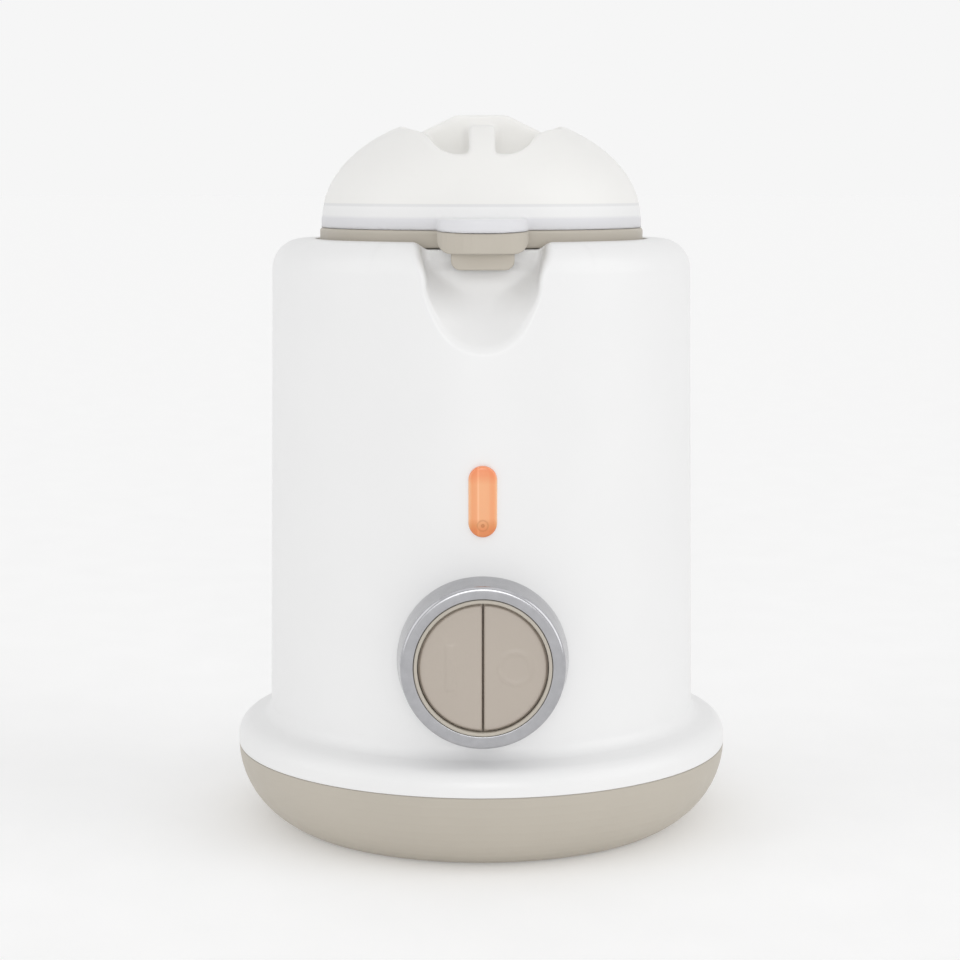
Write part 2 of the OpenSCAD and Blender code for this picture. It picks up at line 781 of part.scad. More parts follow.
// Steel dish that the water boils on, with a shallow basin
module heating_plate() {
    basin = 1;
    basin_r = cup_ledge_r - 3;
    color(steel)
    revolve([
        [0, plate_z, 0],
        [plate_r, plate_z, 0],
        [plate_r, plate_top_z, 0.4],
        [basin_r, plate_top_z, 1],
        [basin_r - 2 * basin, plate_top_z - basin, 1],
        [0, plate_top_z - basin, 0]
    ], 3);
}

// Tubular ring, flattened where it is brazed to the plate, with two end pins
module heating_element() {
    tube_z = plate_z - element_tube_r + element_flat;
    start = 90 + element_gap_deg / 2;
    color(dark)
    difference() {
        union() {
            translate([0, 0, tube_z]) rotate([0, 0, start])
                rotate_extrude(angle = 360 - element_gap_deg)
                    translate([element_ring_r, 0]) circle(r = element_tube_r);
            around([start, start - element_gap_deg], element_ring_r) rod(pin_r, plate_z - pin_l, tube_z);
        }
        rod(plate_r, plate_z, plate_z + element_tube_r);
    }
}

// Ring that presses the plate up against its seal
module clamp_ring() {
    color(steel)
    difference() {
        union() {
            rod(cup_r, clamp_z, plate_z);
            around(clamp_angles, clamp_at) {
                rod(ear_r, clamp_z, plate_z);
                translate([-clamp_at, -ear_r, clamp_z]) cube([clamp_at, 2 * ear_r, clamp_t]);
            }
        }
        rod(plate_r - clamp_w, clamp_z - 1, plate_z + 1);
        around(clamp_angles, clamp_at) rod(screw_r + fit_gap, clamp_z - 1, plate_z + 1);
    }
}

module clamp_screws() {
    color(steel)
    around(clamp_angles, clamp_at) translate([0, 0, clamp_z]) screw(clamp_t + clamp_bite);
}

// Snap-disc thermostat on the plate's underside
module thermostat() {
    can_z = plate_z - thermostat_h / 2;
    step = 1.2;
    color(dark) {
        rod(thermostat_r, can_z, plate_z);
        rod(thermostat_r - step, plate_z - thermostat_h, plate_z);
    }
}

// Spring strap that holds the thermostat against the plate
module thermostat_strap() {
    low = plate_z - thermostat_h - sheet_t;
    side = thermostat_r + 1.5;
    foot = 5;
    color(steel)
    translate([0, strap_w / 2, 0]) rotate([90, 0, 0]) linear_extrude(strap_w) polygon([
        [-side - foot, plate_z], [-side - foot, plate_z - sheet_t], [-side - sheet_t, plate_z - sheet_t],
        [-side - sheet_t, low], [side + sheet_t, low], [side + sheet_t, plate_z - sheet_t],
        [side + foot, plate_z - sheet_t], [side + foot, plate_z], [side, plate_z],
        [side, low + sheet_t], [-side, low + sheet_t], [-side, plate_z]
    ]);
}

module thermal_fuse() {
    leg = 3;
    color(white)
    translate([0, -fuse_at, fuse_z]) rotate([0, 90, 0]) {
        cylinder(r = fuse_r, h = fuse_l, center = true);
        cylinder(r = fuse_r / 3, h = fuse_l + 2 * leg, center = true);
    }
}

// Saddle that holds the fuse to the plate
module fuse_clip() {
    clip_l = 6;
    rise = plate_z - fuse_z;
    out_r = fuse_r + sheet_t + fit_gap;
    foot = fuse_room - out_r - run_gap;
    color(steel)
    translate([-clip_l / 2, -fuse_at, fuse_z]) rotate([0, 90, 0])
    difference() {
        union() {
            cylinder(r = out_r, h = clip_l);
            translate([-rise, -out_r, 0]) cube([rise, 2 * out_r, clip_l]);
            translate([-rise, -out_r - foot, 0]) cube([sheet_t, 2 * (out_r + foot), clip_l]);
        }
        translate([0, 0, -1]) cylinder(r = fuse_r + fit_gap / 2, h = clip_l + 2);
        translate([-rise - out_r, -out_r - foot, -1]) cube([out_r, 2 * (out_r + foot), clip_l + 2]);
    }
}

// Sheet-steel dish between the heater and the base, notched at the rear for the leads
module heat_shield() {
    color(steel)
    difference() {
        revolve([
            [0, shield_z, 0],
            [shield_r, shield_z, shield_bend + sheet_t],
            [shield_r, shield_z + shield_rim, 0],
            [shield_r - sheet_t, shield_z + shield_rim, 0],
            [shield_r - sheet_t, shield_z + sheet_t, shield_bend],
            [0, shield_z + sheet_t, 0]
        ], 3);
        translate([-pin_x - notch_room, pin_y - notch_front, shield_z - 1])
            cube([2 * (pin_x + notch_room), shield_r, shield_rim + 2]);
        around(shield_angles, shield_at) rod(screw_r + fit_gap, shield_z - 1, shield_z + sheet_t + 1);
    }
}

module shield_screws() {
    color(steel)
    around(shield_angles, shield_at) translate([0, 0, shield_z + sheet_t])
        mirror([0, 0, 1]) screw(sheet_t + shield_bite);
}

// Base

// Bowl solid up to height top, drawn in by g
module bowl(g, top) {
    r = bowl_round - g;
    low = base_z + g;
    a_low = asin((low - bowl_c[1]) / r);
    a_top = asin((top - bowl_c[1]) / r);
    rotate_extrude()
        polygon(concat([[0, low]], arc(bowl_c, r, a_low, a_top, 10), [[0, top]]));
}

module base_shell() {
    color(taupe)
    difference() {
        union() {
            difference() {
                bowl(0, seam_z);
                bowl(base_wall, seam_z + 1);
            }
            ring(tongue_r, tongue_r - tongue_t, seam_z - tongue_root, seam_z + tongue_h);
            around(post_angles, post_at) rod(base_boss_r, base_z, floor_z + boss_h);
            around(shield_angles, shield_at) rod(boss_r, base_z, shield_z);
            intersection() {
                rod(base_r, base_z, seam_z);
                rotate([0, 0, 180]) facing(gland_z)
                    rod(gland_collar_r + gland_rim, gland_back, gland_face - run_gap);
            }
        }
        around(post_angles, post_at) {
            rod(screw_r + fit_gap, 0, seam_z);
            rod(screw_head_r + run_gap, 0, head_z);
        }
        around(foot_angles, foot_at) rod(foot_r + fit_gap, 0, base_z + foot_in);
        around(shield_angles, shield_at)
            rod(screw_r + fit_gap, shield_z - shield_bite - tip_gap, shield_z + 1);
        rotate([0, 0, 180]) facing(gland_z) {
            rod(gland_stem_r + fit_gap, gland_back - past, base_r);
            rod(gland_collar_r + run_gap, gland_face, base_r + 1);
        }
    }
}

module rubber_feet() {
    color(rubber)
    around(foot_angles, foot_at)
        revolve([[0, 0, 0], [foot_r, 0, 0.8], [foot_r, base_z + foot_in, 0], [0, base_z + foot_in, 0]], 3);
}

module base_screws() {
    color(steel)
    around(post_angles, post_at) translate([0, 0, head_z]) screw(floor_z + boss_h - head_z + post_bite);
}

module cord_gland() {
    stem_end = 2;
    collar_front = gland_face + gland_collar_t;
    stem_back = gland_back - gland_nut_t - stem_end;
    color(dark)
    rotate([0, 0, 180]) facing(gland_z)
    difference() {
        union() {
            rod(gland_stem_r, stem_back, collar_front);
            revolve([
                [0, gland_face, 0],
                [gland_collar_r, gland_face, 0],
                [gland_collar_r, collar_front, 0.8],
                [0, collar_front, 0]
            ], 3);
        }
        rod(gland_bore_r, stem_back - 1, collar_front + 1);
    }
}

module gland_nut() {
    color(dark)
    rotate([0, 0, 180]) facing(gland_z)
    difference() {
        translate([0, 0, gland_back - gland_nut_t]) cylinder(r = gland_collar_r, h = gland_nut_t, $fn = 6);
        rod(gland_stem_r + fit_gap / 2, gland_back - gland_nut_t - 1, gland_back + 1);
    }
}

// Screw terminals where a cord would join the heater's leads
module terminal_block() {
    hole_r = 2;
    color(white)
    difference() {
        translate([-block_size[0] / 2, block_y, floor_z]) cube(block_size);
        for (k = [-1:1]) translate([k * terminal_pitch, block_y + block_size[1] / 2, floor_z])
            rod(hole_r, block_size[2] / 2, block_size[2] + 1);
    }
}

// Points of one heater lead, from the terminal block to an end pin of the element
function lead_route(s) =
    let (
        straight = 2.5,
        start = [s * terminal_pitch, block_y, floor_z + lead_h],
        end = [s * pin_x, pin_y, plate_z - pin_l]
    )
    [start, start - [0, straight, 0], end - [0, 0, straight], end];

// Unit vector
function unit(v) = v / norm(v);

// Ring of points of a tube round point i of a route
function tube_ring(route, i, r, sides) =
    let (
        n = len(route) - 1,
        t = unit(route[min(i + 1, n)] - route[max(i - 1, 0)]),
        side = unit(cross(t, abs(t[0]) < 0.9 ? [1, 0, 0] : [0, 1, 0])),
        up = cross(t, side)
    )
    [for (k = [0:sides - 1]) route[i] + r * (cos(360 * k / sides) * side + sin(360 * k / sides) * up)];

// Closed tube along a route
module tube(route, r, sides = 8) {
    n = len(route) - 1;
    points = [for (i = [0:n]) each tube_ring(route, i, r, sides)];
    walls = [for (i = [0:n - 1], k = [0:sides - 1])
        let (a = i * sides + k, b = i * sides + (k + 1) % sides)
        each [[a, b, b + sides], [a, b + sides, a + sides]]];
    cap_low = [for (k = [1:sides - 2]) [0, k + 1, k]];
    cap_top = [for (k = [1:sides - 2]) [n * sides, n * sides + k, n * sides + k + 1]];
    polyhedron(points, concat(walls, cap_low, cap_top));
}

module heater_leads() {
    color(lead_red)
    for (s = [-1, 1]) tube(lead_route(s), lead_r);
}

module power_board() {
    color(board_green)
    rotate([0, 0, 180]) facing(power_z)
    difference() {
        translate([0, 0, power_at]) linear_extrude(board_t) plate_2d(power_w, power_h, 2);
        for (s = [-1, 1]) translate([0, s * power_screw_z, 0])
            rod(screw_r + fit_gap, power_at - 1, power_back + 1);
    }
}

module power_board_screws() {
    color(steel)
    rotate([0, 0, 180]) facing(power_z) for (s = [-1, 1]) translate([0, s * power_screw_z, power_at])
        screw(board_t + power_bite);
}

// Relay and supply can on the outer side of the power board
module relay() {
    color(dark)
    rotate([0, 0, 180]) facing(power_z) for (s = [-1, 1])
        translate([s * relay_x, 0, power_back]) linear_extrude(relay_d) plate_2d(relay_w, relay_h, 1);
}

// Push button

// Chrome ring that saddles the tower, with a spigot that reaches in to the carrier
module bezel_ring() {
    spigot_r = bezel_hole_r - fit_gap;
    side_back = tower_r(button_z) - 1;
    color(chrome)
    difference() {
        facing(button_z) {
            revolve([
                [0, carrier_front, 0],
                [bezel_r + bezel_draft, carrier_front, 0],
                [bezel_r + bezel_draft, side_back, 0],
                [bezel_r, bezel_front, bezel_edge],
                [0, bezel_front, 0]
            ], 4);
        }
        difference() {
            tower_outside(fit_gap);
            facing(button_z) rod(spigot_r, 0, base_r);
        }
        facing(button_z) {
            rod(bezel_bore_r, trim_back, bezel_front + 1);
            rod(bezel_step_r, carrier_front - 1, bezel_front + 1);
        }
    }
}

module trim_ring() {
    color(taupe)
    facing(button_z)
    revolve([
        [button_r + button_gap, trim_back, 0],
        [bezel_bore_r - fit_gap, trim_back, 0],
        [bezel_bore_r - fit_gap, bezel_front + trim_proud, 0.2],
        [button_r + button_gap, bezel_front + trim_proud, 0.2]
    ], 3);
}

// Half disc of radius r on the side s, cut back from the split by d
module half_disc(r, d, s) {
    intersection() {
        circle(r = r);
        translate([s > 0 ? d : -d - 2 * r, -2 * r]) square([2 * r, 4 * r]);
    }
}

// One push-button half: a hollow cap with a plunger, two guide pins and a flange that keeps it in
module button_half(s) {
    split = button_gap / 2;
    inside_r = button_r - skirt_t;
    rod_top = button_front - button_face_t / 2;
    color(taupe)
    facing(button_z) {
        difference() {
            translate([0, 0, button_back]) linear_extrude(button_depth) half_disc(button_r, split, s);
            translate([0, 0, button_back - 1]) linear_extrude(button_depth - button_face_t + 1)
                half_disc(inside_r, split + skirt_t, s);
        }
        difference() {
            translate([0, 0, button_back]) linear_extrude(flange_t)
                half_disc(bezel_step_r - run_gap, split, s);
            translate([0, 0, button_back - 1]) linear_extrude(flange_t + 2)
                half_disc(inside_r, split + skirt_t, s);
        }
        translate([s * plunger_x, 0, 0]) {
            rod(plunger_r, plunger_end, rod_top);
            for (k = [-1, 1]) translate([0, k * guide_at, 0]) {
                rod(guide_r, carrier_front - guide_in, rod_top);
                rod(shoulder_r, button_back, rod_top);
            }
        }
    }
}

module button_left() {
    button_half(-1);
}

module button_right() {
    button_half(1);
}

// Coil spring from the carrier to the shoulder of a guide pin
function spring_route() =
    let (
        per_turn = 8,
        low = carrier_front + spring_wire_r + fit_gap,
        high = button_back - spring_wire_r - fit_gap,
        n = spring_turns * per_turn
    )
    [for (i = [0:n])
        let (a = 360 * i / per_turn)
        [spring_r * cos(a), spring_r * sin(a), low + (high - low) * i / n]];

module springs(s) {
    color(steel)
    facing(button_z) for (k = [-1, 1]) translate([s * plunger_x, k * guide_at, 0])
        tube(spring_route(), spring_wire_r, 6);
}

module spring_left() {
    springs(-1);
}

module spring_right() {
    springs(1);
}

// Children copied to the four screws of the control board
module board_holes() {
    for (x = [-1, 1], y = [-1, 1]) translate([x * board_hole_x, y * board_hole_z, 0]) children();
}

// Plate behind the bezel that guides the button halves and carries the control board
module button_carrier() {
    color(dark)
    facing(button_z)
    difference() {
        union() {
            rod(carrier_r, carrier_back, carrier_front);
            for (s = [-1, 1]) translate([s * carrier_ear, 0, 0]) rod(ear_r, carrier_back, carrier_front);
            translate([-carrier_ear, -ear_r, carrier_back]) cube([2 * carrier_ear, 2 * ear_r, carrier_t]);
            board_holes() rod(standoff_r, board_front, carrier_back + carrier_t / 2);
        }
        for (s = [-1, 1]) {
            translate([s * carrier_ear, 0, 0]) rod(screw_r + fit_gap, carrier_back - 1, carrier_front + 1);
            translate([s * plunger_x, 0, 0]) {
                rod(tact_w * sqrt(0.5) + run_gap, carrier_back - 1, carrier_front + 1);
                for (k = [-1, 1]) translate([0, k * guide_at, 0])
                    rod(guide_r + run_gap, carrier_back - 1, carrier_front + 1);
            }
        }
        board_holes() rod(screw_r + fit_gap, board_front - 1, carrier_back + board_bite + tip_gap);
    }
}

module carrier_screws() {
    color(steel)
    facing(button_z) for (s = [-1, 1]) translate([s * carrier_ear, 0, carrier_back])
        screw(carrier_t + carrier_bite);
}

module control_board() {
    color(board_green)
    facing(button_z)
    difference() {
        translate([0, 0, board_back]) linear_extrude(board_t) plate_2d(board_w, board_w, 2);
        board_holes() rod(screw_r + fit_gap, board_back - 1, board_front + 1);
    }
}

module board_screws() {
    color(steel)
    facing(button_z) board_holes() translate([0, 0, board_back]) screw(board_t + board_gap + board_bite);
}

module tact_switches() {
    color(dark)
    facing(button_z) for (s = [-1, 1]) translate([s * plunger_x, 0, 0]) {
        translate([-tact_w / 2, -tact_w / 2, board_front]) cube([tact_w, tact_w, tact_h]);
        rod(tact_knob_r, board_front, tact_top + tact_knob_h);
    }
}

// Pilot window

// Amber lens with a rounded face and a flange behind the wall
module indicator_lens() {
    flange_w = window_w + 2 * lens_flange;
    flange_h = window_h + 2 * lens_flange;
    color(amber)
    facing(window_z) {
        intersection() {
            translate([0, 0, lens_back]) linear_extrude(lens_front - lens_back) stadium(window_w, window_h);
            translate([0, 0, lens_front - lens_round]) rotate([90, 0, 0])
                cylinder(r = lens_round, h = 2 * window_h, center = true);
        }
    }
    color(amber)
    intersection() {
        facing(window_z) translate([0, 0, lens_back])
            linear_extrude(2 * shell_wall) stadium(flange_w, flange_h);
        tower_outside(-shell_wall - fit_gap);
    }
}

// Light box behind the lens, with two screw ears
module led_holder() {
    ear_w = 2 * ear_r;
    color(white)
    facing(window_z)
    difference() {
        union() {
            translate([0, 0, holder_back]) linear_extrude(holder_depth)
                plate_2d(holder_in_w + 2 * holder_wall, holder_in_h + 2 * holder_wall, 2);
            translate([0, 0, holder_front - holder_ear_t]) linear_extrude(holder_ear_t)
                stadium(ear_w, 2 * holder_screw_z + ear_w);
        }
        translate([0, 0, holder_back - 1]) linear_extrude(holder_depth + 2)
            plate_2d(holder_in_w, holder_in_h, 1);
        for (s = [-1, 1]) translate([0, s * holder_screw_z, 0])
            rod(screw_r + fit_gap, holder_back - 1, lens_back);
    }
}

module holder_screws() {
    color(steel)
    facing(window_z) for (s = [-1, 1]) translate([0, s * holder_screw_z, holder_front - holder_ear_t])
        screw(holder_ear_t + holder_bite);
}

module led_board() {
    color(board_green)
    facing(window_z) translate([0, 0, holder_back - board_t])
        linear_extrude(board_t) plate_2d(holder_in_w + 2 * holder_wall, holder_in_h + 2 * holder_wall, 2);
}

// Row of pilot lamps on the lamp board
module indicator_leds() {
    pitch = window_h / (lamp_count + 1);
    color(amber)
    facing(window_z) for (i = [0:lamp_count - 1])
        translate([0, (i - (lamp_count - 1) / 2) * pitch, holder_back])
            revolve([[0, 0, 0], [lamp_r, 0, 0], [lamp_r, lamp_h, 0.8 * lamp_r], [0, lamp_h, 0]]);
}

// Basket and lid

// Edge of a tab seen from the front, through [w / 2, z] and sagging in the middle
function sag_line(w, z) =
    [for (i = [0:12]) let (x = w * (i / 12 - 0.5)) [x, z - tab_sag * (1 - 4 * x * x / (tab_w * tab_w)), 0]];

// Front tab outline seen from above, reaching r from the axis
module tab_2d(reach) {
    root = 1.8;
    polygon(rounded([
        [-tab_w / 2 + root, -cage_r, 0],
        [tab_w / 2 - root, -cage_r, 0],
        [tab_w / 2, -reach + tab_round, 0],
        [tab_w / 2, -reach, tab_round],
        [-tab_w / 2, -reach, tab_round],
        [-tab_w / 2, -reach + tab_round, 0]
    ]));
}

module bottle_basket() {
    cage_in = cage_r - cage_wall;
    slot_z0 = cage_floor_z + slot_low;
    slot_z1 = seat_z - slot_high;
    color(taupe)
    difference() {
        union() {
            revolve([
                [0, cage_floor_z, 0],
                [cage_r, cage_floor_z, 2],
                [cage_r, rim_z, 0],
                [rim_r, rim_z, 0.5],
                [rim_r, rim_top_z, 0.8],
                [rim_step_r, rim_top_z, 0.5],
                [rim_step_r, rim_top_z - lid_plug - run_gap, 0],
                [cage_in, rim_top_z - lid_plug - run_gap, 0.5],
                [cage_in, cage_floor_z + cage_floor_t, 1],
                [0, cage_floor_z + cage_floor_t, 0]
            ], 4);
            basket_tab();
        }
        for (i = [0:slot_count - 1]) rotate([0, 0, 360 * (i + 0.5) / slot_count])
            facing((slot_z0 + slot_z1) / 2) translate([0, 0, cage_r - 3 * cage_wall])
                linear_extrude(6 * cage_wall) stadium(slot_w, slot_z1 - slot_z0);
        rod(drain_r, cage_floor_z - 1, cage_floor_z + cage_floor_t + 1);
        around([0:45:315], cage_in - drain_inset)
            rod(drain_small_r, cage_floor_z - 1, cage_floor_z + cage_floor_t + 1);
    }
}

// Tab that lifts the basket, trimmed where the scoop's mouth and the tower's top stand round it
module basket_tab() {
    difference() {
        tab_blank();
        difference() {
            rod(2 * base_r, seat_z - tab_block_drop, tower_top_z + run_gap);
            scoop(-run_gap);
            rod(rim_r, 0, tower_top_z + 1);
        }
    }
}

// Untrimmed tab, with a narrower block that drops into the finger scoop
module tab_blank() {
    drop = 1.1;
    block_gap = 2.2;
    block_in = 3.5;
    block_round = 2.6;
    block_back = scoop_axis - scoop_r + block_gap;
    block_front = tab_reach - block_in;
    half_w = tab_block_w / 2;
    low = rim_z - tab_block_drop;
    difference() {
        intersection() {
            translate([0, 0, rim_z - drop]) linear_extrude(rim_h + drop) tab_2d(tab_reach);
            facing(0) linear_extrude(2 * base_r) polygon(rounded(concat(
                sag_line(tab_w, rim_top_z),
                [[tab_w / 2, rim_z - drop, tab_low_round], [-tab_w / 2, rim_z - drop, tab_low_round]]
            )));
        }
        rod(rim_step_r, rim_z - 1, rim_top_z + 1);
        rod(seat_r + scoop_lip + run_gap, rim_z - 2 * drop, rim_z);
    }
    facing(0) translate([0, 0, block_back]) linear_extrude(block_front - block_back) polygon(rounded([
        [-half_w, rim_z + 1, 0],
        [-half_w, low, block_round],
        [half_w, low, block_round],
        [half_w, rim_z + 1, 0]
    ], 4));
}

// Dome solid, drawn in by g, from height low upwards
module dome(g, low) {
    a = dome_r - g;
    b = dome_rise - g;
    steps = 14;
    crown = [for (i = [0:steps]) [a * cos(90 * i / steps), dome_z + b * sin(90 * i / steps)]];
    rotate_extrude() polygon(concat([[0, low], [a, low]], crown));
}

// Lens-shaped hollow in the crown of the lid, let out by g and starting at height low
module hollow(g, low) {
    c = hollow_round - hollow_w;
    intersection() {
        translate([c, 0, 0]) rod(hollow_round + g, low, grip_top_z + past);
        translate([-c, 0, 0]) rod(hollow_round + g, low, grip_top_z + past);
    }
}

// Grip bar across the hollow, with a flat top, sloping ends and dips where it meets the dome; drawn in by g
module grip(g, low) {
    top = grip_top_z - g;
    dip = top - grip_dip_drop;
    out = hollow_w + 2;
    end = dip + 0.4 * (out - grip_dip_x);
    t = grip_t - 2 * g;
    translate([0, t / 2, 0]) rotate([90, 0, 0]) linear_extrude(t) polygon(rounded([
        [-out, low, 0],
        [out, low, 0],
        [out, end, 0],
        [grip_dip_x, dip, 1.5],
        [grip_top_w / 2, top, 3],
        [-grip_top_w / 2, top, 3],
        [-grip_dip_x, dip, 1.5],
        [-out, end, 0]
    ], 4));
}

// Rib from front to back through the grip; drawn in by g
module rib(g, low) {
    t = rib_t - 2 * g;
    translate([-t / 2, -hollow_l, low]) cube([t, 2 * hollow_l, grip_top_z - rib_drop - g - low]);
}

// Frosted lid: a dome with a sunk grip, a lip, a centring ring and a front tab
module lid_dome() {
    plug_r = rim_step_r - run_gap;
    tab_over = 0.5;
    tab_in = 0.2;
    step_z = dome_z + lid_step;
    color(frost)
    difference() {
        union() {
            difference() {
                dome(0, lip_z);
                hollow(0, hollow_z);
            }
            intersection() {
                dome(0, lip_z);
                union() {
                    grip(0, hollow_z - lid_wall / 2);
                    rib(0, hollow_z - lid_wall / 2);
                }
            }
            revolve([
                [plug_r - lid_wall, lip_z - lid_plug, 0],
                [plug_r, lip_z - lid_plug, 0.6],
                [plug_r, lip_z, 0],
                [lip_r, lip_z, 1.2],
                [lip_r, lip_z + lip_h, 1.2],
                [plug_r - lid_wall, lip_z + lip_h, 0]
            ], 4);
            difference() {
                intersection() {
                    translate([0, 0, lip_z - tab_sag]) linear_extrude(lip_h + tab_sag)
                        tab_2d(tab_reach + tab_over);
                    facing(0) linear_extrude(2 * base_r) polygon(rounded(concat(
                        sag_line(tab_w - 2 * tab_in, lip_z),
                        [[tab_w / 2 - tab_in, lip_z + lip_h, 0.8], [tab_in - tab_w / 2, lip_z + lip_h, 0.8]]
                    )));
                }
                rod(plug_r - lid_wall, lip_z - 1, lip_z + lip_h + 1);
                rod(rim_r + run_gap, lip_z - 2 * tab_sag, lip_z);
            }
        }
        difference() {
            intersection() {
                dome(lid_wall, lip_z - 2 * lid_plug);
                union() {
                    rod(plug_r - lid_wall, lip_z - 2 * lid_plug, step_z + 1);
                    rod(dome_r, step_z, grip_top_z);
                }
            }
            hollow(lid_wall, hollow_z - lid_wall);
        }
        intersection() {
            dome(lid_wall, lip_z);
            hollow(0, hollow_z - 2 * lid_wall);
            union() {
                grip(lid_wall, hollow_z - 2 * lid_wall);
                rib(lid_wall, hollow_z - 2 * lid_wall);
            }
        }
        for (s = [-1, 1]) translate([s * vent_x, vent_y, 0])
            rod(vent_r, hollow_z - 2 * lid_wall, hollow_z + 1);
    }
}

lid_dome();
bottle_basket();
body_shell();
chamber_cup();
plate_seal();
heating_plate();
heating_element();
clamp_ring();
clamp_screws();
thermostat();
thermostat_strap();
thermal_fuse();
fuse_clip();
heat_shield();
shield_screws();
base_shell();
rubber_feet();
base_screws();
cord_gland();
gland_nut();
terminal_block();
heater_leads();
power_board();
power_board_screws();
relay();
bezel_ring();
trim_ring();
button_left();
button_right();
spring_left();
spring_right();
button_carrier();
carrier_screws();
control_board();
board_screws();
tact_switches();
indicator_lens();
led_holder();
holder_screws();
led_board();
indicator_leds();
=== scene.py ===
from math import acos, atan2, cos, hypot, pi, radians, sin, sqrt, tan

import bmesh
import bpy
import numpy as np
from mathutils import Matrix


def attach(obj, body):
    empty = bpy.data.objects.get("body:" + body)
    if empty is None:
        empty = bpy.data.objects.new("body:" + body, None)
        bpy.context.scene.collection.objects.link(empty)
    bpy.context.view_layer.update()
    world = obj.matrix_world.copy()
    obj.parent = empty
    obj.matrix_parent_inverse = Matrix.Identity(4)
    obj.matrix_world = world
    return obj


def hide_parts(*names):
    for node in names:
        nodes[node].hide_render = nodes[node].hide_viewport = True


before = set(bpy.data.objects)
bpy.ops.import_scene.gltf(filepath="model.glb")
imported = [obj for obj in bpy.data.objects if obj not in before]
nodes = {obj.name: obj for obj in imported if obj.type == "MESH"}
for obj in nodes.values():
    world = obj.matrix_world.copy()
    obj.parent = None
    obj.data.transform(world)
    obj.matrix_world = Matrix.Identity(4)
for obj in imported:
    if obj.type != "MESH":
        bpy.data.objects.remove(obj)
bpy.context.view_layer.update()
scene = bpy.context.scene

MM = 0.001


# Materials

def linear(v):
    """Linear value of an sRGB level from 0 to 255."""
    v = v / 255.0
    return v / 12.92 if v <= 0.04045 else ((v + 0.055) / 1.055) ** 2.4


def rgba(r, g, b):
    return (linear(r), linear(g), linear(b), 1.0)


class Shader:
    """A Principled material with its texture coordinates in the object's own space."""

    def __init__(self, name):
        self.mat = bpy.data.materials.new(name)
        self.mat.use_nodes = True
        self.tree = self.mat.node_tree
        self.tree.nodes.clear()
        out = self.add("ShaderNodeOutputMaterial")
        self.bsdf = self.add("ShaderNodeBsdfPrincipled")
        self.link(self.bsdf.outputs[0], out.inputs["Surface"])
        self.coord = self.add("ShaderNodeTexCoord").outputs["Object"]

    def add(self, kind):
        return self.tree.nodes.new(kind)

    def link(self, a, b):
        self.tree.links.new(a, b)

    def feed(self, value, socket):
        """Link a node's output to a socket, or set a plain value on it."""
        if hasattr(value, "node"):
            self.link(value, socket)
        else:
            socket.default_value = value

    def set(self, **values):
        for key, value in values.items():
            self.bsdf.inputs[key.replace("_", " ")].default_value = value

    def noise(self, scale, detail, stretch=(1, 1, 1)):
        m = self.add("ShaderNodeMapping")
        m.inputs["Scale"].default_value = stretch
        self.link(self.coord, m.inputs["Vector"])
        n = self.add("ShaderNodeTexNoise")
        n.inputs["Scale"].default_value = scale
        n.inputs["Detail"].default_value = detail
        self.link(m.outputs["Vector"], n.inputs["Vector"])
        return n.outputs["Fac"]

    def span(self, value, low, high, from_low=0.3, from_high=0.7):
        """A value carried from one range to another; the first range suits a noise."""
        m = self.add("ShaderNodeMapRange")
        m.inputs["From Min"].default_value = from_low
        m.inputs["From Max"].default_value = from_high
        m.inputs["To Min"].default_value = low
        m.inputs["To Max"].default_value = high
        self.link(value, m.inputs["Value"])
        return m.outputs["Result"]

    def mix(self, fac, a, b, blend="MIX"):
        m = self.add("ShaderNodeMix")
        m.data_type = "RGBA"
        m.blend_type = blend
        for value, socket in ((fac, m.inputs[0]), (a, m.inputs[6]), (b, m.inputs[7])):
            self.feed(value, socket)
        return m.outputs[2]

    def axis(self, name):
        """One coordinate of the object's own space, in metres."""
        n = self.add("ShaderNodeSeparateXYZ")
        self.link(self.coord, n.inputs[0])
        return n.outputs[name]

    def math(self, kind, a, b=None):
        n = self.add("ShaderNodeMath")
        n.operation = kind
        self.feed(a, n.inputs[0])
        if b is not None:
            self.feed(b, n.inputs[1])
        return n.outputs[0]

    def ramp(self, value, low, high, stops):
        """Colours by position, with low, high and the stops in millimetres."""
        n = self.add("ShaderNodeValToRGB")
        while len(n.color_ramp.elements) < len(stops):
            n.color_ramp.elements.new(0.5)
        for e, (at, c) in zip(n.color_ramp.elements, stops):
            e.position = (at - low) / (high - low)
            e.color = c
        self.link(self.span(value, 0, 1, low * MM, high * MM), n.inputs[0])
        return n.outputs[0]

    def colour(self, value):
        self.link(value, self.bsdf.inputs["Base Color"])

    def rough(self, value):
        self.link(value, self.bsdf.inputs["Roughness"])

    def bump(self, height, strength, soft=0.0):
        """Relief from a height; soft rounds the shading of edges narrower than that radius."""
        b = self.add("ShaderNodeBump")
        if soft:
            r = self.add("ShaderNodeBevel")
            r.samples = 6
            r.inputs["Radius"].default_value = soft
            self.link(r.outputs[0], b.inputs["Normal"])
        b.inputs["Strength"].default_value = strength
        b.inputs["Distance"].default_value = RELIEF_DEPTH
        self.link(height, b.inputs["Height"])
        self.link(b.outputs["Normal"], self.bsdf.inputs["Normal"])


# Scales of the noises are in cycles per metre
RELIEF_DEPTH = 0.0002
GRAIN_SCALE = 1800.0
PLASTIC_GLOSS_SCALE = 140.0
METAL_LINE_SCALE = 420.0
METAL_GLOSS_SCALE = 90.0


def shades(colour, spread):
    """A colour made darker and lighter by a share of itself."""
    dark = tuple(c * (1 - spread) for c in colour[:3]) + (1,)
    light = tuple(min(1, c * (1 + spread)) for c in colour[:3]) + (1,)
    return dark, light


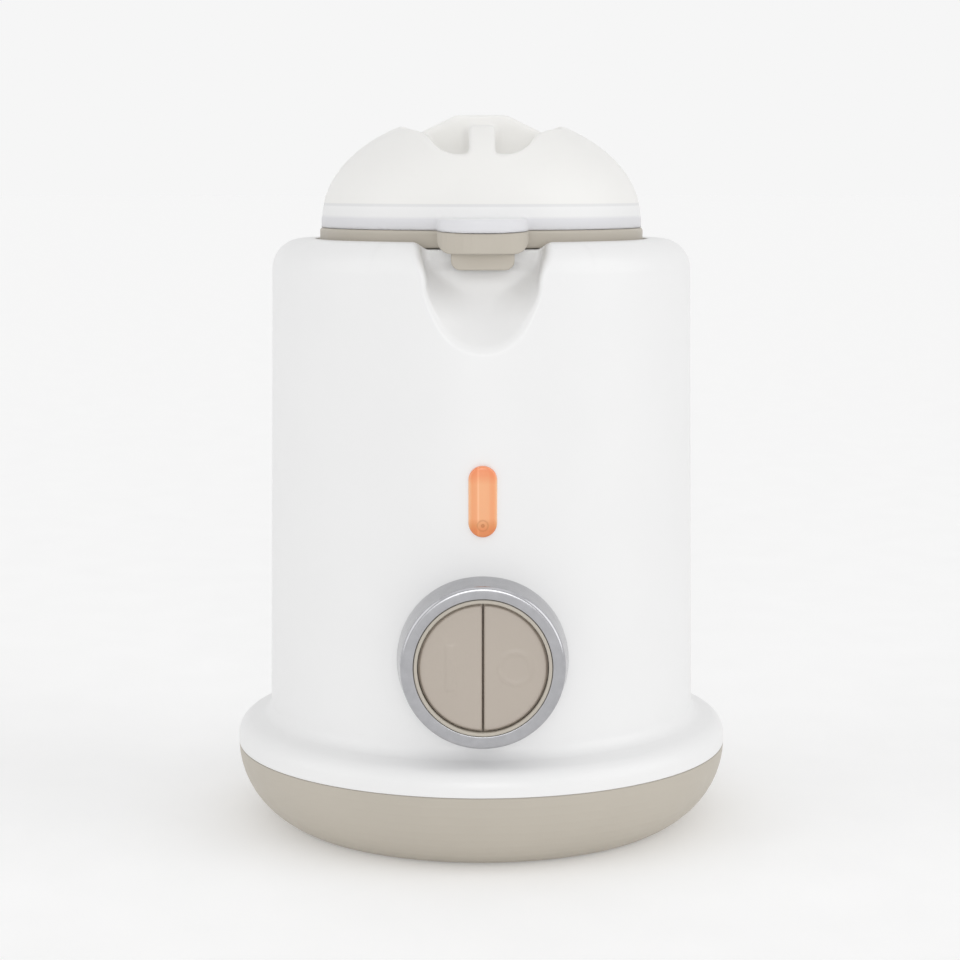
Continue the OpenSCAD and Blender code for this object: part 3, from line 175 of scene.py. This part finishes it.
def moulded(name, colour, rough, spread=0.02, relief=0.06, cloud=28.0, soft=0.0):
    """Moulded plastic: faint clouding of the colour, uneven gloss and a fine spark-eroded grain.

    Where colour is None, the caller paints the base colour.
    """
    s = Shader(name)
    if colour is not None:
        s.colour(s.mix(s.span(s.noise(cloud, 4), 0, 1), *shades(colour, spread)))
    s.rough(s.span(s.noise(PLASTIC_GLOSS_SCALE, 3), rough - 0.04, rough + 0.05))
    s.bump(s.noise(GRAIN_SCALE, 2), relief, soft)
    return s


def metal(name, colour, rough, spread=0.05, stretch=(1, 1, 1)):
    """Drawn or plated metal with fine lines across its stretch direction."""
    s = Shader(name)
    lines = s.noise(METAL_LINE_SCALE, 4, stretch)
    s.colour(s.mix(s.span(lines, 0, 1), *shades(colour, spread)))
    s.rough(s.span(s.noise(METAL_GLOSS_SCALE, 3), rough * 0.85, rough * 1.2))
    s.bump(lines, 0.03)
    s.set(Metallic=1.0)
    return s


WHITE = moulded("white_abs", rgba(236, 236, 236), rough=0.34, spread=0.008, relief=0.03).mat
TAUPE = moulded("taupe_plastic", rgba(187, 180, 168), rough=0.46, relief=0.10, soft=0.0008).mat
BUTTON = moulded("taupe_button", rgba(179, 169, 158), rough=0.42, relief=0.12).mat
CHROME = metal("bezel_chrome", rgba(178, 178, 181), rough=0.17).mat
STEEL = metal("steel_sheet", rgba(178, 180, 183), rough=0.32, stretch=(1, 12, 1)).mat
SHEATH = metal("element_sheath", rgba(120, 112, 104), rough=0.5, spread=0.15).mat
DARK = moulded("dark_plastic", rgba(46, 45, 46), rough=0.5, spread=0.08).mat
BOARD = moulded("circuit_board", rgba(38, 96, 62), rough=0.4, spread=0.12, cloud=300).mat
RUBBER = moulded("silicone", rgba(96, 92, 88), rough=0.7, spread=0.06, relief=0.3).mat
LEAD = moulded("lead_sleeve", rgba(180, 44, 36), rough=0.5, spread=0.06).mat
CERAMIC = moulded("white_ceramic", rgba(232, 229, 222), rough=0.55, spread=0.03, relief=0.2).mat


def amber():
    """Clear amber over a lamp: painted highlights as a pale streak and pale edges, painted shade
    as deeper stripes, and the lamp's rings low down.
    """
    lamp_z = 0.0990
    ring_rate = 5200.0
    ring_start, ring_end = 0.0006, 0.0024
    # edge is a painted highlight along both long sides of the lens
    edge, plain = rgba(246, 192, 150), rgba(255, 255, 255)
    s = moulded("amber_lens", None, rough=0.22)
    x, z = s.axis("X"), s.axis("Z")
    # Painted highlight and shade across the lens: a pale streak near -1.3 mm, deeper stripes to
    # the sides, pale edges
    across = s.ramp(x, -4.1, 4.1, (
        (-4.1, edge), (-3.0, rgba(240, 164, 113)), (-1.7, rgba(242, 168, 118)),
        (-1.3, rgba(252, 192, 148)), (-0.9, rgba(243, 176, 128)), (1.6, rgba(241, 174, 126)),
        (2.2, rgba(240, 165, 115)), (3.2, rgba(240, 163, 113)), (4.1, edge)))
    along = s.ramp(z, 95, 116, (
        (95.6, rgba(234, 196, 160)), (97.6, rgba(237, 203, 168)), (99.3, rgba(241, 230, 208)),
        (101, plain), (110.5, plain), (113.2, rgba(252, 226, 216)), (115.8, rgba(252, 214, 204))))
    # The height ramp multiplied with the painted highlight and shade across the lens
    tint_and_painted_light = s.mix(1.0, across, along, "MULTIPLY")
    up = s.math("ADD", z, -lamp_z)
    squares = s.math("ADD", s.math("MULTIPLY", x, x), s.math("MULTIPLY", up, up))
    far = s.math("SQRT", squares)
    rings = s.math("SINE", s.math("MULTIPLY", far, ring_rate))
    near = s.span(far, 0.65, 0.0, ring_start, ring_end)
    shown = s.math("MULTIPLY", s.span(rings, 0, 1, -0.2, 1.0), near)
    s.colour(s.mix(shown, tint_and_painted_light, rgba(176, 96, 44)))
    s.set(Subsurface_Weight=0.15, Subsurface_Radius=(1, 0.6, 0.4), Subsurface_Scale=0.002,
          Coat_Weight=0.4)
    return s.mat


def frost():
    """Frosted lid: pale dome, with painted shade as a thin grey line where the wall thickens and
    as a greyer rim.
    """
    s = moulded("frosted_lid", None, rough=0.42)
    pale, line, rim = rgba(252, 251, 248), rgba(237, 237, 237), rgba(232, 232, 235)
    # Painted shade by height: the greyer rim low down and a thin grey line from 187.3 to 187.8 mm
    s.colour(s.ramp(s.axis("Z"), 180, 190, (
        (180.2, rim), (183.6, rim), (184.5, rgba(249, 249, 249)), (187.0, rgba(250, 250, 250)),
        (187.3, line), (187.8, line), (188.1, pale))))
    s.set(Transmission_Weight=0.12, Subsurface_Weight=0.2, Subsurface_Radius=(1, 1, 1),
          Subsurface_Scale=0.003)
    return s.mat


AMBER = amber()
FROST = frost()

SLOT_MATERIAL = {
    "white_plastic": WHITE, "frosted_plastic": FROST, "taupe_plastic": TAUPE,
    "bezel_chrome": CHROME, "steel": STEEL, "element_sheath": SHEATH, "dark_plastic": DARK,
    "circuit_board": BOARD, "amber_plastic": AMBER, "silicone": RUBBER, "lead_sleeve": LEAD,
    "white_ceramic": CERAMIC,
}
for obj in nodes.values():
    for slot in obj.material_slots:
        base = slot.material.name.split(".")[0] if slot.material else ""
        slot.material = SLOT_MATERIAL.get(base, WHITE)


# Shaped pieces, in millimetres until they become meshes

def piece(name, points, faces, material, body, stands_for, normals=None):
    mesh = bpy.data.meshes.new(name)
    mesh.from_pydata(
        [tuple(float(c) * MM for c in p) for p in points], [], [tuple(map(int, q)) for q in faces])
    mesh.polygons.foreach_set("use_smooth", [True] * len(mesh.polygons))
    mesh.materials.append(material)
    mesh.update()
    if normals is not None:
        mesh.normals_split_custom_set_from_vertices([tuple(map(float, n)) for n in normals])
    obj = bpy.data.objects.new(name, mesh)
    scene.collection.objects.link(obj)
    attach(obj, body)
    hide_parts(*stands_for)


def rmax(a, b, r):
    """Intersection of two signed distances with its edge rounded by r."""
    return np.minimum(np.maximum(a, b), -r) + np.hypot(np.maximum(a + r, 0), np.maximum(b + r, 0))


def rmin(a, b, r):
    """Union of two signed distances with its corner filled by r."""
    return -rmax(-a, -b, r)


def slope(field, p, h=0.02):
    """Gradient of a field at points."""
    x, y, z = p.T
    return np.stack([
        field(x + h, y, z) - field(x - h, y, z),
        field(x, y + h, z) - field(x, y - h, z),
        field(x, y, z + h) - field(x, y, z - h)], 1) / (2 * h)


def skin(field, low, high, cell):
    """Quads over the zero surface of a signed distance.

    Each cell that the surface crosses has one point, which is moved onto it.
    """
    axes = [np.arange(a, b + cell, cell) for a, b in zip(low, high)]
    grid = np.meshgrid(*axes, indexing="ij")
    value = field(*grid)
    inside = value < 0
    shape = tuple(n - 1 for n in value.shape)
    total = np.zeros(shape + (3,))
    count = np.zeros(shape)
    quads = []
    for a in range(3):
        b, c = (a + 1) % 3, (a + 2) % 3
        first = tuple(slice(0, -1) if d == a else slice(None) for d in range(3))
        second = tuple(slice(1, None) if d == a else slice(None) for d in range(3))
        cross = inside[first] != inside[second]
        at = np.argwhere(cross)
        v0, v1 = value[first][cross], value[second][cross]
        p = np.stack([g[first][cross] for g in grid], 1)
        p[:, a] += cell * v0 / (v0 - v1)
        whole = np.ones(len(at), bool)
        for d in (b, c):
            whole &= (at[:, d] > 0) & (at[:, d] < value.shape[d] - 1)
        corners = []
        for db, dc in ((-1, -1), (0, -1), (0, 0), (-1, 0)):
            j = at.copy()
            j[:, b] += db
            j[:, c] += dc
            good = np.all((j >= 0) & (j < shape), axis=1)
            np.add.at(total, tuple(j[good].T), p[good])
            np.add.at(count, tuple(j[good].T), 1)
            j = np.clip(j, 0, np.array(shape) - 1)
            corners.append(np.ravel_multi_index(tuple(j.T), shape))
        q = np.stack(corners, 1)[whole]
        quads.append(np.where(inside[first][cross][whole][:, None], q, q[:, ::-1]))
    quads = np.concatenate(quads)
    used, faces = np.unique(quads, return_inverse=True)
    points = total.reshape(-1, 3)[used] / count.reshape(-1)[used][:, None]
    for _ in range(4):
        g = slope(field, points)
        step = field(*points.T) / np.maximum((g * g).sum(1), 0.05)
        points = points - np.clip(step[:, None] * g, -0.5 * cell, 0.5 * cell)
    return points, faces.reshape(quads.shape)


def outward(field, points):
    """Unit normals of a field at points."""
    g = slope(field, points)
    return g / np.maximum(np.linalg.norm(g, axis=1), 1e-6)[:, None]


def rounded(path, n):
    """Open outline of (x, y, rounding) corners, with n steps in each rounding."""
    out = [path[0][:2]]
    for p0, p1, p2 in zip(path, path[1:], path[2:]):
        r = p1[2]
        if r == 0:
            out.append(p1[:2])
            continue
        u = np.array(p0[:2]) - p1[:2]
        v = np.array(p2[:2]) - p1[:2]
        u, v = u / np.hypot(*u), v / np.hypot(*v)
        half = acos(float(u @ v)) / 2
        c = np.array(p1[:2]) + (u + v) / np.hypot(*(u + v)) * r / sin(half)
        a = np.array(p1[:2]) + u * r / tan(half) - c
        b = np.array(p1[:2]) + v * r / tan(half) - c
        start = atan2(a[1], a[0])
        sweep = atan2(a[0] * b[1] - a[1] * b[0], float(a @ b))
        for i in range(n + 1):
            t = start + sweep * i / n
            out.append((c[0] + r * cos(t), c[1] + r * sin(t)))
    out.append(path[-1][:2])
    return out


def filled(line, step):
    """The same outline with points added so that none is further than step from the next."""
    out = [line[0]]
    for a, b in zip(line, line[1:]):
        n = max(1, int(np.ceil(hypot(b[0] - a[0], b[1] - a[1]) / step)))
        out += [
            (a[0] + (b[0] - a[0]) * i / n, a[1] + (b[1] - a[1]) * i / n) for i in range(1, n + 1)]
    return out


# Body: a turned shell, with a skinned patch round the finger scoop

FOOT_R = 75.0
FOOT_Z = 23.4
FOOT_TOP = 30.0
FOOT_ROUND = 5.5
FOOT_LIP_R = 72.5
FOOT_LIP_Z = 26.0
CREASE = 33.0
CREASE_ROUND = 4.2
TOWER_R = 65.0
TOWER_TOP = 177.3
TOWER_TOP_R = 63.0
SHOULDER = 9.0
WELL_R = 50.2
WELL_EDGE = 0.3
WELL_Z = 172.8
LIP_R = 51.5
LIP_TOP = 175.2
LIP_ROUND = 2.5
BUTTON_Z = 60.4
PORT_R = 21.8

SCOOP_FALL = 41.0
SCOOP_ROUND = 18.0
SCOOP_HALF = 15.4
SCOOP_FLARE = 1.7
SCOOP_CORNER = 15.0
SCOOP_TOP_CORNER = 3.0
SCOOP_STEP = 5.0
SCOOP_EDGE = 1.4
SCOOP_FRONT_Y = -30.0

TURN_STEPS = 192
JOIN_Z = 140.0
PATCH_ANGLES = (240, 300)
PATCH_LOW = (-36, -67, 135)
PATCH_HIGH = (36, -36, 179)
PATCH_CELL = 0.5
PATCH_LAP = 0.15
SHADED_R = 51.0


def tower_radius(z):
    return TOWER_R - (TOWER_R - TOWER_TOP_R) * (z - CREASE) / (TOWER_TOP - CREASE)


def rise(z, start, height):
    """0 up to start, 1 from start + height on, and smooth between."""
    t = np.clip((z - start) / height, 0, 1)
    return t * t * (3 - 2 * t)


def scoop_field(x, y, z):
    """A trough that leaves the face in an arc, deepens upwards and stands open at the rim."""
    fall = np.clip((TOWER_TOP - z) / SCOOP_FALL, 0, 0.97)
    lean = np.sqrt(1 - fall * fall)
    back = LIP_R + SCOOP_FALL * (1 - lean)
    trough = (np.hypot(x, y + back + SCOOP_ROUND) - SCOOP_ROUND) * lean
    half = SCOOP_HALF + SCOOP_FLARE * rise(z, 166.0, 9.0)
    corner = SCOOP_CORNER - (SCOOP_CORNER - SCOOP_TOP_CORNER) * rise(z, 156.0, 18.0)
    deeper = back - SCOOP_STEP * rise(z, 169.0, 6.0)
    channel = rmax(np.abs(x) - half, (deeper - np.hypot(x, y)) * lean, corner)
    channel = np.maximum(channel, y - SCOOP_FRONT_Y)
    return rmin(trough, channel, 2.0)


def body_field(x, y, z):
    r = np.hypot(x, y)
    tower = rmax(r - tower_radius(z), z - TOWER_TOP, SHOULDER)
    lip = np.maximum(r - LIP_R, z - LIP_TOP)
    cut = rmax(scoop_field(x, y, z), -lip, LIP_ROUND)
    edge = SCOOP_EDGE + SCOOP_EDGE * rise(z, 168.0, 6.0)
    return rmax(rmax(tower, -cut, edge), WELL_R - r, WELL_EDGE)


def body_outline():
    """Radius and height from inside the foot's lower edge up and over the rim."""
    line = rounded([
        (FOOT_LIP_R, FOOT_LIP_Z, 0), (FOOT_LIP_R, FOOT_Z, 0.3), (FOOT_R, FOOT_Z, 0.35),
        (FOOT_R, FOOT_TOP, FOOT_ROUND), (TOWER_R, CREASE, CREASE_ROUND),
        (tower_radius(JOIN_Z), JOIN_Z, 0), (TOWER_TOP_R, TOWER_TOP, SHOULDER),
        (WELL_R, TOWER_TOP, WELL_EDGE), (WELL_R, WELL_Z, 0)], 10)
    return filled(line, 2.0)


def turned_shell():
    """The outline turned round the axis, open at the scoop's patch and behind the bezel."""
    line = body_outline()
    m, n = len(line), TURN_STEPS
    join_r = tower_radius(JOIN_Z)
    split = min(range(m), key=lambda i: abs(line[i][1] - JOIN_Z) + abs(line[i][0] - join_r))
    run = np.gradient(np.array(line), axis=0)
    flat = np.stack([run[:, 1], -run[:, 0]], 1)
    flat /= np.linalg.norm(flat, axis=1)[:, None]
    points, normals, faces = [], [], []
    for i in range(n):
        t = 2 * pi * i / n
        for (r, z), (nr, nz) in zip(line, flat):
            points.append((r * cos(t), r * sin(t), z))
            normals.append((nr * cos(t), nr * sin(t), nz))
    # The upper part takes the field's normals, so that shell and patch are shaded alike
    high = [
        i for i, p in enumerate(points) if p[2] > JOIN_Z - 1 and hypot(p[0], p[1]) > SHADED_R]
    for i, v in zip(high, outward(body_field, np.array([points[i] for i in high]))):
        normals[i] = tuple(v)
    for i in range(n):
        front = PATCH_ANGLES[0] < 360 * (i + 0.5) / n < PATCH_ANGLES[1]
        k = (i + 1) % n
        for j in range(m - 1):
            if front and j >= split:
                continue
            q = (i * m + j, k * m + j, k * m + j + 1, i * m + j + 1)
            x, y, z = np.mean([points[a] for a in q], axis=0)
            if y < 0 and hypot(x, z - BUTTON_Z) < PORT_R:
                continue
            faces.append(q)
    return points, faces, normals


def scoop_patch():
    """The upper front of the body, cut to its place in the turned shell with a small overlap."""
    points, faces = skin(body_field, PATCH_LOW, PATCH_HIGH, PATCH_CELL)
    patch = bmesh.new()
    verts = [patch.verts.new(v) for v in points]
    for q in faces:
        patch.faces.new([verts[a] for a in q])
    c, d, lap = cos(pi / 6), sin(pi / 6), PATCH_LAP
    for origin, normal in (
            ((0, 0, JOIN_Z - lap), (0, 0, -1)),
            ((c * lap, d * lap, 0), (c, d, 0)),
            ((-c * lap, d * lap, 0), (-c, d, 0))):
        bmesh.ops.bisect_plane(
            patch, geom=patch.verts[:] + patch.edges[:] + patch.faces[:], dist=1e-5,
            plane_co=origin, plane_no=normal, clear_outer=True)
    patch.verts.index_update()
    points = np.array([v.co[:] for v in patch.verts])
    faces = [tuple(v.index for v in q.verts) for q in patch.faces]
    patch.free()
    return points, faces


def body_skin():
    points, faces, normals = turned_shell()
    base = len(points)
    patch_points, patch_faces = scoop_patch()
    points += [tuple(v) for v in patch_points]
    normals += [tuple(v) for v in outward(body_field, patch_points)]
    faces += [tuple(base + i for i in q) for q in patch_faces]
    return points, faces, normals


# Lid: a domed shell with a sunk grip

LID_TOP = 214.0
LID_WALL = 2.0
LID_LIP_Z = 180.6
LID_LIP_R = 48.2
LID_LIP_HEIGHT = 3.5
DOME_Z = 183.3
DOME_R = 48.0
DOME_HEIGHT = 31.7
# Half width of the sunk grip, by distance from the cross bar
POCKET_Y = (0, 12, 20, 25, 31.6, 35, 37.5, 41, 43.4, 50)
POCKET_X = (24.3, 22.6, 18.6, 15.8, 13.3, 11.2, 9.2, 4.6, 0, -9)
POCKET_FLOOR = 202
POCKET_LEAN = 0.82
GRIP_HALF = 4.0
GRIP_FLAT = 7.5
GRIP_DROP = 5.4
GRIP_RUN = 11.1
GRIP_LOW_X = 18.6
GRIP_LOW_Z = 208.6
RIB_HALF = 3.8
RIB_TOP = 210.6
TAB_HALF = 12.6
TAB_FRONT = 66.0
TAB_ROOT_R = 44.0
TAB_SAG = 0.5
TAB_SAG_HALF = 12.8
TAB_SAG_R = 48.75
PLUG_R = 44.8
PLUG_BORE_R = 42.8
PLUG_Z = 180.3
PLUG_HALF = 1.5
HOLLOW_Z = 187.4
WELL_TOP_Z = 188.0
LID_CELL = 0.7


def lid_outside(x, y, z):
    """The dome with its hollow, and the lip round its edge."""
    r = np.hypot(x, y)
    up = np.maximum(z - DOME_Z, 0)
    k0 = np.hypot(r / DOME_R, up / DOME_HEIGHT)
    k1 = np.maximum(np.hypot(r / DOME_R ** 2, up / DOME_HEIGHT ** 2), 1e-6)
    dome = k0 * (k0 - 1) / k1
    ax = np.abs(x)
    pocket = (ax - np.interp(np.abs(y), POCKET_Y, POCKET_X)) * POCKET_LEAN
    hollow = rmax(pocket, POCKET_FLOOR - z, 2.0)
    falling = LID_TOP - (ax - GRIP_FLAT) * GRIP_DROP / GRIP_RUN
    rising = GRIP_LOW_Z + 0.4 * (ax - GRIP_LOW_X)
    ridge = np.where(ax < GRIP_FLAT, LID_TOP, np.where(ax < GRIP_LOW_X, falling, rising))
    grip = rmax(np.abs(y) - GRIP_HALF, (z - ridge) * 0.9, 1.6)
    rib = rmax(ax - RIB_HALF, z - RIB_TOP, 1.6)
    sunk = rmax(hollow, -rmin(grip, rib, 2.0), 1.2)
    shape = rmax(dome, -sunk, 1.0)
    shape = np.maximum(shape, z - LID_TOP)
    lip = rmax(r - LID_LIP_R, z - LID_LIP_Z - LID_LIP_HEIGHT, 1.0)
    return rmin(shape, np.maximum(lip, LID_LIP_Z - z), 0.4)


def lid_field(x, y, z):
    """The lid's wall, with its front tab and the plug rim that enters the basket."""
    r = np.hypot(x, y)
    out = lid_outside(x, y, z)
    out = np.maximum(out, LID_LIP_Z - z)
    sag = TAB_SAG * (1 - (x / TAB_SAG_HALF) ** 2) * np.clip((r - TAB_SAG_R) / 0.3, 0, 1)
    tab = rmax(np.abs(x) - TAB_HALF, -y - TAB_FRONT, 10.0)
    tab = rmax(tab, z - LID_LIP_Z - LID_LIP_HEIGHT, 0.8)
    tab = rmax(tab, LID_LIP_Z - sag - z, 0.1)
    tab = np.maximum(tab, TAB_ROOT_R - r)
    plug = rmax(
        np.maximum(r - PLUG_R, PLUG_BORE_R - r), np.abs(z - PLUG_Z) - PLUG_HALF, 0.5)
    solid = rmin(rmin(out, np.maximum(tab, y), 0.8), plug, 0.3)
    inner = lid_outside(x, y, np.maximum(z, LID_LIP_Z + LID_WALL)) + LID_WALL
    inner = np.maximum(inner, HOLLOW_Z - z)
    well = np.maximum(r - PLUG_BORE_R, z - WELL_TOP_Z)
    return rmax(solid, -np.minimum(inner, well), 0.3)


# Controls on the front, with depth measured forwards from the axis

BEZEL_STEPS = 160
BEZEL_FRONT = 74.5
BEZEL_SEAT = 63.6
BEZEL_BACK = 62.5
BEZEL_SINK = 0.6
BEZEL_R = 24.23
BEZEL_FACE_R = 22.93
BEZEL_BORE_R = 19.33

FACE_DEPTH = 74.1
FACE_R = 17.7
MARK_X = 9.0
MARK_RELIEF = 0.16
SKIRT_DEPTH = 73.2
SKIRT_R = 18.15
SKIRT_GAP = 0.08
FLANGE_DEPTH = 62.2
FLANGE_R = 18.7
HOLLOW_DEPTH = 71.7
HOLLOW_R = 16.1
HOLLOW_GAP = 1.9
CAP_BACK = 61.05
SPLIT_GAP = 0.3
PLUNGER_R = 2.5
PLUNGER_BACK = 53.75
PIN_UP = 9.5
PIN_R = 2.0
PIN_BACK = 50.35
PIN_ROOT_R = 3.7
PIN_TOP = 72.5
BUTTON_CELL = 0.4

WINDOW_Z = 105.7
WINDOW_R = 4.05
WINDOW_STRAIGHT = 6.0
CROWN_R = 12.0
CROWN_DEPTH = 53.2
LENS_BACK = 61.0
LENS_CELL = 0.3


def tower_depth(x, z):
    return sqrt(tower_radius(z) ** 2 - x * x)


def bezel():
    """A turned ring whose outer wall runs into the body's curved face."""
    n = BEZEL_STEPS
    points, faces = [], []
    for i in range(n):
        t = 2 * pi * i / n
        c, s = cos(t), sin(t)
        root = tower_depth(BEZEL_R * c, BUTTON_Z + BEZEL_R * s) - BEZEL_SINK
        line = rounded([
            (BEZEL_R, min(root, BEZEL_SEAT - 0.01), 0), (BEZEL_R, BEZEL_SEAT, 0),
            (BEZEL_FACE_R, BEZEL_FRONT, 1.2), (BEZEL_BORE_R, BEZEL_FRONT, 0.35),
            (BEZEL_BORE_R, BEZEL_BACK, 0)], 7)
        if root > BEZEL_SEAT:
            line[0] = (BEZEL_R, BEZEL_SEAT - 0.5)
        row = []
        for a, b in zip(line, line[1:]):
            row += [
                (a[0] + (b[0] - a[0]) * k / 3, a[1] + (b[1] - a[1]) * k / 3) for k in range(3)]
        row.append(line[-1])
        points += [(r * c, -d, BUTTON_Z + r * s) for r, d in row]
    m = len(points) // n
    for i in range(n):
        k = (i + 1) % n
        faces += [(i * m + j, i * m + j + 1, k * m + j + 1, k * m + j) for j in range(m - 1)]
    return points, faces


def bar_mark(x, z):
    return np.maximum(np.abs(x) - 1.3, np.abs(z) - 6.5)


def ring_mark(x, z):
    return np.abs(np.hypot(x, z) - 4.4) - 0.65


def button_field(s):
    """One half of the split button: a hollow cap with flange, plunger and two guide pins."""
    def field(x, y, z):
        depth = -y
        up = z - BUTTON_Z
        r = np.hypot(x, up)

        def half_disc(radius, gap, top):
            return np.maximum(np.maximum(r - radius, gap - s * x), depth - top)

        mark = bar_mark(x + MARK_X, up) if s < 0 else ring_mark(x - MARK_X, up)
        relief = MARK_RELIEF * np.clip(0.5 - mark / 0.5, 0, 1)
        disc = rmax(r - FACE_R, SPLIT_GAP - s * x, 0.6)
        face = rmax(disc, depth - FACE_DEPTH - relief, 0.55)
        skirt = half_disc(SKIRT_R, SKIRT_GAP, SKIRT_DEPTH)
        flange = half_disc(FLANGE_R, SPLIT_GAP, FLANGE_DEPTH)
        hollow = half_disc(HOLLOW_R, HOLLOW_GAP, HOLLOW_DEPTH)
        cap = np.maximum(
            np.minimum(np.minimum(face, skirt), flange), np.maximum(CAP_BACK - depth, -hollow))
        plunger = np.maximum(np.hypot(x - MARK_X * s, up) - PLUNGER_R, PLUNGER_BACK - depth)
        pin = np.hypot(x - MARK_X * s, np.abs(up) - PIN_UP)
        pins = np.minimum(
            np.maximum(pin - PIN_R, PIN_BACK - depth),
            np.maximum(pin - PIN_ROOT_R, CAP_BACK - depth))
        return np.minimum(cap, np.maximum(np.minimum(plunger, pins), depth - PIN_TOP))
    return field


def lens_field(x, y, z):
    depth = -y
    up = z - WINDOW_Z
    stadium = np.hypot(x, np.maximum(np.abs(up) - WINDOW_STRAIGHT, 0)) - WINDOW_R
    crown = np.hypot(x, depth - CROWN_DEPTH) - CROWN_R
    return np.maximum(rmax(stadium, crown, 0.7), LENS_BACK - depth)


points, faces, normals = body_skin()
piece("body_skin", points, faces, WHITE, "body", ["body_shell"], normals)
points, faces = skin(lid_field, (-50, -67.5, 178), (50, 50, 215), LID_CELL)
piece("lid_skin", points, faces, FROST, "lid", ["lid_dome"])
points, faces = bezel()
piece("bezel_band", points, faces, CHROME, "body", ["bezel_ring"])
for side, name in ((-1, "left"), (1, "right")):
    low = (min(0, 19 * side) - 0.5, -75.5, 41.5)
    high = (max(0, 19 * side) + 0.5, -49.5, 79.5)
    points, faces = skin(button_field(side), low, high, BUTTON_CELL)
    piece("button_cap_" + name, points, faces, BUTTON, name + "_button", ["button_" + name])
points, faces = skin(lens_field, (-4.6, -66, 94.5), (4.6, -60.5, 116.5), LENS_CELL)
piece("window_lens", points, faces, AMBER, "body", ["indicator_lens"])


# Stage, light and camera

PAPER = rgba(246, 246, 246)
AMBIENT = 0.65
FLOOR_HALF = 30.0
FLOOR_DARK = (0.84, 0.84, 0.84, 1)
FLOOR_LIGHT = (0.86, 0.86, 0.86, 1)
FLOOR_GLOW = 0.187
CAMERA_AT = (-0.00445, -0.69, 0.1944)
CAMERA_TILT = 82.48
CAMERA_TURN = -0.336
CAMERA_LENS = 84.94


def studio():
    """Even light all round; the camera, reflections and refractions see pale paper."""
    world = bpy.data.worlds.new("studio")
    scene.world = world
    world.use_nodes = True
    tree = world.node_tree
    tree.nodes.clear()
    path = tree.nodes.new("ShaderNodeLightPath")
    seen = path.outputs["Is Camera Ray"]
    for ray in ("Is Glossy Ray", "Is Transmission Ray"):
        either = tree.nodes.new("ShaderNodeMath")
        either.operation = "MAXIMUM"
        tree.links.new(seen, either.inputs[0])
        tree.links.new(path.outputs[ray], either.inputs[1])
        seen = either.outputs[0]
    mix = tree.nodes.new("ShaderNodeMixShader")
    tree.links.new(seen, mix.inputs[0])
    for colour, strength, socket in (
            ((1, 1, 1, 1), AMBIENT, mix.inputs[1]), (PAPER, 1.0, mix.inputs[2])):
        background = tree.nodes.new("ShaderNodeBackground")
        background.inputs["Color"].default_value = colour
        background.inputs["Strength"].default_value = strength
        tree.links.new(background.outputs[0], socket)
    out = tree.nodes.new("ShaderNodeOutputWorld")
    tree.links.new(mix.outputs[0], out.inputs["Surface"])


def sun(name, energy, angle, tilt, turn):
    lamp = bpy.data.lights.new(name, "SUN")
    lamp.energy = energy
    lamp.angle = radians(angle)
    obj = bpy.data.objects.new(name, lamp)
    obj.rotation_euler = (radians(tilt), 0, radians(turn))
    scene.collection.objects.link(obj)


studio()
sun("key", energy=0.59, angle=50, tilt=66, turn=72)
sun("fill", energy=0.35, angle=50, tilt=66, turn=-72)
sun("front", energy=0.5, angle=30, tilt=78, turn=0)
sun("top", energy=0.2, angle=60, tilt=5, turn=0)

floor_mesh = bpy.data.meshes.new("floor")
floor_mesh.from_pydata([
    (-FLOOR_HALF, -FLOOR_HALF, 0), (FLOOR_HALF, -FLOOR_HALF, 0),
    (FLOOR_HALF, FLOOR_HALF, 0), (-FLOOR_HALF, FLOOR_HALF, 0)], [], [(0, 1, 2, 3)])
floor = bpy.data.objects.new("floor", floor_mesh)
scene.collection.objects.link(floor)
paper = Shader("paper_floor")
paper.colour(paper.mix(paper.span(paper.noise(40, 3), 0, 1), FLOOR_DARK, FLOOR_LIGHT))
paper.rough(paper.span(paper.noise(60, 2), 0.9, 1.0))
paper.set(Specular_IOR_Level=0.0, Emission_Color=(1, 1, 1, 1), Emission_Strength=FLOOR_GLOW)
floor_mesh.materials.append(paper.mat)

cam = bpy.data.cameras.new("camera")
cam.lens = CAMERA_LENS
cam.sensor_width = 36.0
cam.clip_start = 0.05
cam_obj = bpy.data.objects.new("camera", cam)
cam_obj.location = CAMERA_AT
cam_obj.rotation_euler = (radians(CAMERA_TILT), 0, radians(CAMERA_TURN))
scene.collection.objects.link(cam_obj)
scene.camera = cam_obj
scene.view_settings.view_transform = "Standard"
